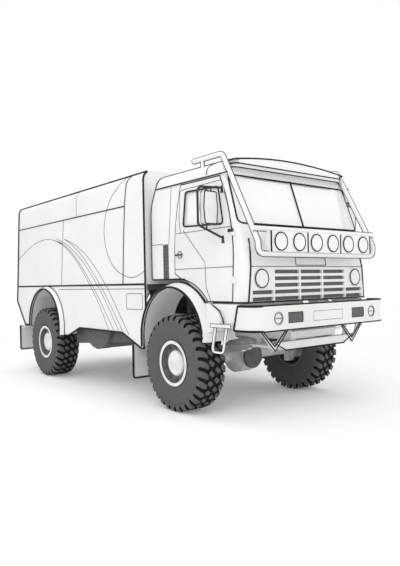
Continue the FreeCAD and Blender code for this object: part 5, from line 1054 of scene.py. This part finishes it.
    def cab_edges(self, sizes):
        """Seals round the windscreen and along the corners, rear edge, sill and roof of the cab."""
        corner = [(3.272, 1.108, 1.43), (3.279, 1.088, 1.65), (3.28, 1.07, 1.85), (3.254, 1.05, 2.02),
                  (3.216, 1.035, 2.18)]
        back = softened([(2.15, 1.727), (CAB_REAR, 1.727), (CAB_REAR, 2.0)], 0.025)[:-1]
        back += softened([(CAB_REAR, 2.0), (CAB_REAR, 2.75), (1.5375, CAB_SIDE_TOP)], 0.6)
        edge = on_side(back, CAB_SIDE - 0.002)
        edge += [cab_shoulder(1.5375 + 0.001 * turn, turn) for turn in range(12, 73, 12)]
        roof_end = cab_shoulder(2.88, 74)
        edge += [cab_shoulder(1.75, 74), roof_end]
        screen = rounded_corners([(-1.128, 2.362), (1.128, 2.362), (1.10, 2.965), (-1.10, 2.965)], 0.07)
        sealed = []
        for y, z in screen:
            past = max(0.0, abs(y) - 1.08)
            bow = 0.02 * (1 - y * y / 1.27)
            sealed.append((nose_at(z) - 0.08 + math.sqrt(0.08 ** 2 - past ** 2), y, z + bow))
        sill = softened([(2.70, -1.158), (3.278, -1.158), (3.278, 1.158), (2.70, 1.158)], 0.08, 6)
        crown = []
        for i in range(25):
            y = 1.03 * (i / 12 - 1)
            crown.append((3.01 - 0.045 * (roof_crown(y) - 3.15) / 0.085, y, roof_crown(y)))
        crown = placed([roof_end], SIDES["right"]) + crown + [roof_end]
        beads("cab_seals", both_sides(corner, edge) + [on_plan(sill, 1.432), crown], sizes.seal, "cab",
              loops=[sealed])

    def cab_gaps(self, sizes):
        """Beads over the gaps round the doors, along the gutters and round the cap and the visor."""
        low, high = 1.99, 2.955
        heights = [low + (high - low) * i / 8 for i in range(9)]
        front = [(3.09 - 2.268 + math.sqrt(2.268 ** 2 - (z - low) ** 2), z) for z in heights]
        rear = [(1.932 + 2.972 - math.sqrt(2.972 ** 2 - (z - low) ** 2), z) for z in heights[::-1]]
        door = [(3.062, 1.44)] + front + rear + [(1.932, 1.80)] + arc(FRONT_ARCH, 0.775, 84, 39.5, 14)
        gutter = on_side([(1.53, 2.974), (3.02, 2.978)], CAB_SIDE + 0.008)
        turns = ((2.633, 10), (2.648, 30), (2.675, 50), (2.73, 66), (2.80, 74))
        cap = [(2.62, CAB_SIDE, 2.99)] + [cab_shoulder(x, turn) for x, turn in turns]
        visor = softened([(2.92, -1.035), (3.01, -1.035), (3.01, 1.035), (2.92, 1.035)], 0.08, 8)
        runs = both_sides(gutter, cap) + [on_plan(visor, 3.105), on_plan(visor, 3.060, 0.0225)]
        beads("cab_gap_beads", runs, sizes.gap, "cab", loops=both_sides(on_side(door, CAB_SIDE)))

    def door_seals(self, sizes):
        """Seals round the door windows and the mirror heads."""
        (near, far), (low, high) = MIRROR_ACROSS, MIRROR_HEIGHTS
        middle = (low + high) / 2
        head = [(near, low), (far, low), (far + MIRROR_BOW, middle), (far, high), (near, high),
                (near - MIRROR_BOW, middle)]
        window = on_side(rounded_corners(WINDOW, 0.045), DOOR_SIDE)
        rims = [on_front(rounded_corners(head, 0.02, 3), along) for along in MIRROR_FACES]
        for word, side in SIDES.items():
            door = f"door_{word}"
            beads(f"window_seal_{word}", [], sizes.seal, door, loops=[placed(window, side)])
            beads(f"mirror_trim_{word}", [], sizes.trim, door, loops=[placed(rim, side) for rim in rims])


class TRUCK_OT_stripes(bpy.types.Operator):
    """Draw the sweeping stripes, the oval and the thin panel lines."""

    bl_idname = "truck.stripes"
    bl_label = "Stripes"

    def execute(self, context):
        sizes = context.scene.stripe_sizes
        self.body_stripes(sizes)
        self.body_lines(sizes)
        badge = [(nose_at(z) + 0.004, y, z) for y, z in rounded((-0.29, 1.868), (0.29, 1.966), 0.015)]
        across = [(3.2815, -1.07, 1.852), (3.2815, 1.07, 1.852)]
        walls = both_sides(on_side([(1.80, 2.20), (1.88, 2.96)], CAB_SIDE),
                           on_side([(CAB_REAR, 2.21), (1.66, 2.21)], CAB_SIDE))
        beads("cab_panel_lines", [across] + walls, sizes.line, "cab", "stripe", loops=[badge])
        doors = [[(1.94, 1.856), (3.085, 1.856)], [(1.975, 2.328), (3.06, 2.328)],
                 softened([(2.075, 2.328), (2.045, 2.50), (2.08, 2.885), (2.885, 2.90)], 0.05),
                 [(2.132, 2.36), (2.567, 1.925), (2.58, 1.62), (2.66, 1.45)]]
        for word, side in SIDES.items():
            runs = [on_side(line, side * DOOR_SIDE) for line in doors]
            beads(f"door_lines_{word}", runs, sizes.line, f"door_{word}", "stripe")
        return {"FINISHED"}

    def body_stripes(self, sizes):
        """The arch over the rear wheel, the five lines that sweep down from it, and the oval ahead."""
        arch = [(tail_at(2.22), 2.22), (-3.0, 2.38), (-2.6, 2.49), (-2.2, 2.545), (-1.9, 2.54), (-1.6, 2.49),
                (-1.33, 2.41)]
        sweeps = [
            [(-1.70, 2.51), (-1.33, 2.41), (-0.98, 2.23), (-0.69, 2.02), (-0.30, 1.67), (0.02, 1.33),
             (0.277, 0.978)],
            [(-1.52, 2.48), (-1.27, 2.41), (-0.92, 2.23), (-0.63, 2.02), (-0.23, 1.67), (0.108, 1.33),
             (0.428, 0.978)],
            [(-1.56, 2.52), (-1.16, 2.41), (-0.83, 2.24), (-0.47, 2.02), (-0.055, 1.67), (0.278, 1.33),
             (0.575, 0.978)],
            [(-1.23, 2.49), (-1.02, 2.41), (-0.68, 2.24), (-0.37, 2.02), (0.04, 1.67), (0.375, 1.33),
             (0.693, 0.978)],
            [(-1.23, 2.49), (-0.96, 2.42), (-0.55, 2.25), (-0.20, 2.02), (0.22, 1.67), (0.523, 1.33),
             (0.869, 0.935)],
        ]
        top = ((0.92, 60), (0.88, 52), (0.84, 42), (0.79, 31), (0.74, 20), (0.69, 8))
        side = [(0.62, 3.12), (0.44, 3.02), (0.28, 2.83), (0.18, 2.54), (0.22, 2.27), (0.34, 2.06),
                (0.50, 1.91), (0.73, 1.81), (0.95, 1.765), (1.16, 1.785), (BODY_FRONT, 1.86)]
        oval = [body_shoulder(x, turn) for x, turn in top] + on_side(side, BODY_SIDE)
        lines = [on_side(line, BODY_SIDE) for line in [arch] + sweeps]
        beads("body_stripes", both_sides(*lines, oval), sizes.body_line, "chassis", "stripe", smooth=True)

    def body_lines(self, sizes):
        """Thin lines of the roof seam, the lower seam and the locker door."""
        seam = on_side([(-0.753, 2.834), (-0.745, SIDE_TOP)], BODY_SIDE)
        seam += [body_shoulder(-0.745 + 0.0012 * turn, turn) for turn in range(12, 61, 12)]
        lower = on_side([(-1.50, 1.604), (1.33, 1.604)], BODY_SIDE)
        locker = on_side(rounded((0.826, 1.308), (1.255, 1.535), 0.02), BODY_SIDE)
        beads("body_panel_lines", both_sides(seam, lower), sizes.body_line, "chassis", "stripe",
              loops=both_sides(locker))


class TRUCK_OT_front_details(bpy.types.Operator):
    """Add lamp bezels, lamp box dividers, lamp rings, grip rings and mirror panes."""

    bl_idname = "truck.front_details"
    bl_label = "Front details"

    def execute(self, context):
        bezels = [on_front(circle((BAR_LAMP_PITCH * (i - 2.5), BAR_LAMP_HEIGHT), 0.103, 32), 3.507)
                  for i in range(6)]
        bezels += [on_front(circle((side * 0.898, 1.71), 0.107, 32), 3.291) for side in SIDES.values()]
        beads("lamp_bezels", [], 0.0075, "cab", loops=bezels)
        dividers = [on_front([(BAR_LAMP_PITCH * i, 2.014), (BAR_LAMP_PITCH * i, 2.254)], 3.500)
                    for i in (-3, -1, 1, 3)]
        beads("lamp_box_dividers", dividers, 0.010, "cab")
        bars, rings = [], []
        for side in SIDES.values():
            at, inner = side * MARKER_SIDE, side * 0.60
            rings += [circle((at, MARKER_HEIGHT), 0.078, 28), circle((at, MARKER_HEIGHT), 0.062, 28)]
            low, high = MARKER_HEIGHT - 0.062, MARKER_HEIGHT + 0.062
            rings.append(rounded((inner - 0.129, low), (inner + 0.129, high), 0.03))
            bars.append(on_front([(at - 0.06, MARKER_HEIGHT), (at + 0.06, MARKER_HEIGHT)], BUMPER_FACE))
        rings = [on_front(ring, BUMPER_FACE) for ring in rings]
        beads("bumper_lamp_rings", bars, 0.004, "chassis", loops=rings)
        grip = on_side(circle(GRIP, 0.046, 24), DOOR_SIDE + 0.009)
        for word, side in SIDES.items():
            name = f"mirror_pane_{word}"
            beads(f"grip_ring_{word}", [], 0.004, f"door_{word}", loops=[placed(grip, side)])
            mesh = mesh_of(name, lambda shape: self.pane(shape, side))
            into_scene(name, mesh, f"door_{word}", "mirror")
        return {"FINISHED"}

    def pane(self, shape, side):
        """The mirror glass of one side, set in its head."""
        (near, far), (low, high) = MIRROR_ACROSS, MIRROR_HEIGHTS
        outline = rounded((near, low + 0.016), (far, high - 0.016), 0.03)
        skin(shape, [placed(on_front(outline, along), side) for along in MIRROR_PANE])


class TRUCK_OT_bar_trim(bpy.types.Operator):
    """Lay thin black beads of painted edge shade along both flanks of the light bar's tubes and the steps,
    as seen from the camera.
    """

    bl_idname = "truck.bar_trim"
    bl_label = "Bar trim"

    def execute(self, context):
        sizes = context.scene.stripe_sizes
        tube = softened([(2.305, BAR_SIDE, BAR_TOP), (2.86, BAR_SIDE, BAR_TOP), (BAR_FRONT, BAR_SIDE, 2.132),
                         (BAR_FRONT, BAR_SIDE, 1.99), (BAR_FRONT, 0.0, 1.99)], 0.09, 8)
        post = [(2.48, BAR_SIDE, 3.13), (2.48, BAR_SIDE, 3.2)]
        cross = [(3.408, y, 2.282) for y in (-1.146, 0.0, 1.146)]
        runs = flanks(cross, 0.032)
        for side in SIDES.values():
            runs += flanks(placed(tube, side), 0.032) + flanks(placed(post, side), 0.024)
        ends = [on_front(circle((side * BAR_SIDE, BAR_TOP), 0.03, 16), 2.304) for side in SIDES.values()]
        # Black beads of painted edge shade along the tube flanks and round the tube ends.
        beads("light_bar_edge_shade", runs, sizes.trim, "cab", loops=ends)
        step = softened([(3.062, 1.15), (2.99, 0.845), (2.7925, 0.845), (2.865, 1.15)], 0.045)
        tread = on_side([(2.80, 1.14), (3.165, 1.14), (3.165, 1.185), (2.80, 1.185)], 1.295)
        runs = [line for path in both_sides(on_side(step, 1.265)) for line in flanks(path, 0.015)]
        # Black beads of painted edge shade along the step flanks; black beads also ring the step treads.
        beads("step_edge_shade", runs, 0.005, "chassis", loops=both_sides(tread))
        return {"FINISHED"}


class TRUCK_OT_seats(bpy.types.Operator):
    """Upholster the two seats: crowned cushions with sewn channels, on their boxes."""

    bl_idname = "truck.seats"
    bl_label = "Seats"

    def pad(self, shape, low, high, crown_axis):
        """A crowned pad with rounded corners, sides that pull in and three sewn channels on its face."""
        steps = 14
        sides = [axis for axis in range(3) if axis != crown_axis]
        made = {}
        for key in product(range(steps + 1), repeat=3):
            if not set(key) & {0, steps}:
                continue
            unit = [2 * n / steps - 1 for n in key]
            length = sum(abs(u) ** 6 for u in unit) ** (1 / 6)
            point = [u / length for u in unit]
            for axis in sides:
                point[crown_axis] *= 1 - 0.22 * point[axis] ** 4
            if point[crown_axis] > 0.5:
                channel = min(abs(point[1] - c) for c in (-0.45, 0.0, 0.45))
                point[crown_axis] -= 0.16 * math.exp(-(channel / 0.07) ** 2)
            for axis in sides:
                point[axis] *= 1 - 0.04 * (1 - abs(point[crown_axis]))
            made[key] = shape.verts.new([(a + b) / 2 + (b - a) / 2 * p for a, b, p in zip(low, high, point)])
        for fixed in range(3):
            for end, a, b in product((0, steps), range(steps), range(steps)):
                corners = []
                for da, db in ((0, 0), (1, 0), (1, 1), (0, 1)):
                    key = [a + da, b + db]
                    key.insert(fixed, end)
                    corners.append(made[tuple(key)])
                shape.faces.new(corners).smooth = True

    def boxes(self, shape):
        """The boxes under the two cushions."""
        outline = rounded((1.89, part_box("seats")[0][2]), (2.15, 1.965), 0.02)
        for side in SIDES.values():
            skin(shape, [on_side(outline, across) for across in sorted((side * 0.46, side * 0.82))])

    def execute(self, context):
        for word, side in SIDES.items():
            near, far = sorted((side * 0.39, side * 0.89))
            parts = {"cushion": ((1.80, near, 1.962), (2.279, far, 2.09), 2),
                     "back": ((1.761, near, 2.07), (1.89, far, 2.758), 0)}
            for part, sizes in parts.items():
                name = f"seat_{part}_{word}"
                mesh = mesh_of(name, lambda shape: self.pad(shape, *sizes))
                piece = into_scene(name, mesh, "cab", "cloth")
                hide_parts("seats")
        base = into_scene("seat_boxes", mesh_of("seat_boxes", self.boxes), "cab", "plastic")
        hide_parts("seats")
        return {"FINISHED"}


class TRUCK_OT_stage(bpy.types.Operator):
    """Make the floor, the lights, the world and the camera."""

    bl_idname = "truck.stage"
    bl_label = "Stage"

    def room(self, scene):
        """A room that lights the truck softly and shows as plain white."""
        scene.world = bpy.data.worlds.new("PaleRoom")
        tree = emptied(scene.world)
        room = add(tree, "ShaderNodeBackground", {"Color": WHITE, "Strength": ROOM_LIGHT})
        back = add(tree, "ShaderNodeBackground", {"Color": WHITE, "Strength": 1.0})
        seen = seen_directly(tree)
        mix = add(tree, "ShaderNodeMixShader", {0: seen, 1: room.outputs[0], 2: back.outputs[0]})
        add(tree, "ShaderNodeOutputWorld", {"Surface": mix.outputs[0]})

    def floor(self, scene):
        """A pale floor that takes the truck's shadow and fades into the room further out."""
        mesh = bpy.data.meshes.new("floor")
        mesh.from_pydata([(-60, -60, 0), (60, -60, 0), (60, 60, 0), (-60, 60, 0)], [], [(0, 1, 2, 3)])
        floor = bpy.data.objects.new("floor", mesh)
        scene.collection.objects.link(floor)
        made = bpy.data.materials.new("PaleFloor")
        tree = emptied(made)
        shade = add(tree, "ShaderNodeBsdfDiffuse", {"Color": (*scene.stage_sizes.floor_colour, 1)})
        glow = add(tree, "ShaderNodeEmission", {"Color": WHITE, "Strength": FLOOR_GLOW})
        near = add(tree, "ShaderNodeAddShader", {0: shade.outputs[0], 1: glow.outputs[0]})
        coords = add(tree, "ShaderNodeTexCoord")
        away = add(tree, "ShaderNodeVectorMath", {0: coords.outputs["Object"]}, operation="LENGTH")
        fade = add(tree, "ShaderNodeMapRange", {
            "Value": away.outputs["Value"], "From Min": 4.0, "From Max": 9.0})
        white = add(tree, "ShaderNodeEmission", {"Color": WHITE, "Strength": 1.0})
        far = add(tree, "ShaderNodeMixShader", {0: fade.outputs[0], 1: near.outputs[0], 2: white.outputs[0]})
        seen = seen_directly(tree)
        choose = add(tree, "ShaderNodeMixShader", {0: seen, 1: shade.outputs[0], 2: far.outputs[0]})
        add(tree, "ShaderNodeOutputMaterial", {"Surface": choose.outputs[0]})
        mesh.materials.append(made)

    def lights(self, scene):
        """Three soft area lights that aim at the middle of the truck."""
        for name, place_at, size, power in (("key", (7, -9, 9), 9, 420), ("fill", (10, 6, 6), 9, 180),
                                            ("top", (-4, -3, 11), 10, 250)):
            light = bpy.data.lights.new(name, "AREA")
            light.size = size
            light.energy = power
            lamp = bpy.data.objects.new(name, light)
            lamp.location = place_at
            aim = Vector((0, 0, 1)) - Vector(place_at)
            lamp.rotation_euler = aim.to_track_quat("-Z", "Y").to_euler()
            scene.collection.objects.link(lamp)

    def camera(self, scene):
        """The camera that sees the truck as the drawing does."""
        sizes = scene.stage_sizes
        yaw, pitch, roll = sizes.camera_yaw, sizes.camera_pitch, sizes.camera_roll
        ahead = Vector((math.cos(yaw) * math.cos(pitch), math.sin(yaw) * math.cos(pitch), math.sin(pitch)))
        level = ahead.cross(Vector((0, 0, 1))).normalized()
        above = level.cross(ahead)
        right = level * math.cos(roll) + above * math.sin(roll)
        up = above * math.cos(roll) - level * math.sin(roll)
        data = bpy.data.cameras.new("camera")
        data.sensor_fit = "AUTO"
        data.sensor_width = 36
        data.lens = sizes.focal_pixels / PICTURE_SIDE * 36
        data.clip_end = 200
        camera = bpy.data.objects.new("camera", data)
        turn = Matrix((right, up, -ahead)).transposed().to_4x4()
        camera.matrix_world = Matrix.Translation(Vector(sizes.camera_place)) @ turn
        scene.collection.objects.link(camera)
        scene.camera = camera

    def execute(self, context):
        scene = context.scene
        scene.view_settings.view_transform = "Standard"
        self.room(scene)
        self.floor(scene)
        self.lights(scene)
        self.camera(scene)
        return {"FINISHED"}


STEPS = (TRUCK_OT_stage, TRUCK_OT_paint, TRUCK_OT_tyres, TRUCK_OT_wheel_nuts, TRUCK_OT_seams,
         TRUCK_OT_stripes, TRUCK_OT_front_details, TRUCK_OT_bar_trim, TRUCK_OT_seats)


class TRUCK_PT_panel(bpy.types.Panel):
    """Lists the steps that dress the truck."""

    bl_idname = "TRUCK_PT_panel"
    bl_label = "Truck"
    bl_space_type = "VIEW_3D"
    bl_region_type = "UI"
    bl_category = "Truck"

    def draw(self, context):
        for step in STEPS:
            self.layout.operator(step.bl_idname)
        for group in ("tyre_sizes", "stripe_sizes", "stage_sizes"):
            data = getattr(context.scene, group)
            for key in data.__annotations__:
                self.layout.prop(data, key)


CLASSES = (TyreSizes, StripeSizes, StageSizes) + STEPS + (TRUCK_PT_panel,)


def register():
    """Add the classes and the sizes to Blender."""
    for cls in CLASSES:
        bpy.utils.register_class(cls)
    bpy.types.Scene.tyre_sizes = PointerProperty(type=TyreSizes)
    bpy.types.Scene.stripe_sizes = PointerProperty(type=StripeSizes)
    bpy.types.Scene.stage_sizes = PointerProperty(type=StageSizes)


def unregister():
    """Take the sizes and the classes out of Blender again."""
    for name in ("tyre_sizes", "stripe_sizes", "stage_sizes"):
        delattr(bpy.types.Scene, name)
    for cls in reversed(CLASSES):
        bpy.utils.unregister_class(cls)


def main():
    """Dress the truck step by step."""
    register()
    for step in STEPS:
        area, name = step.bl_idname.split(".")
        getattr(getattr(bpy.ops, area), name)()


if __name__ == "__main__":
    main()
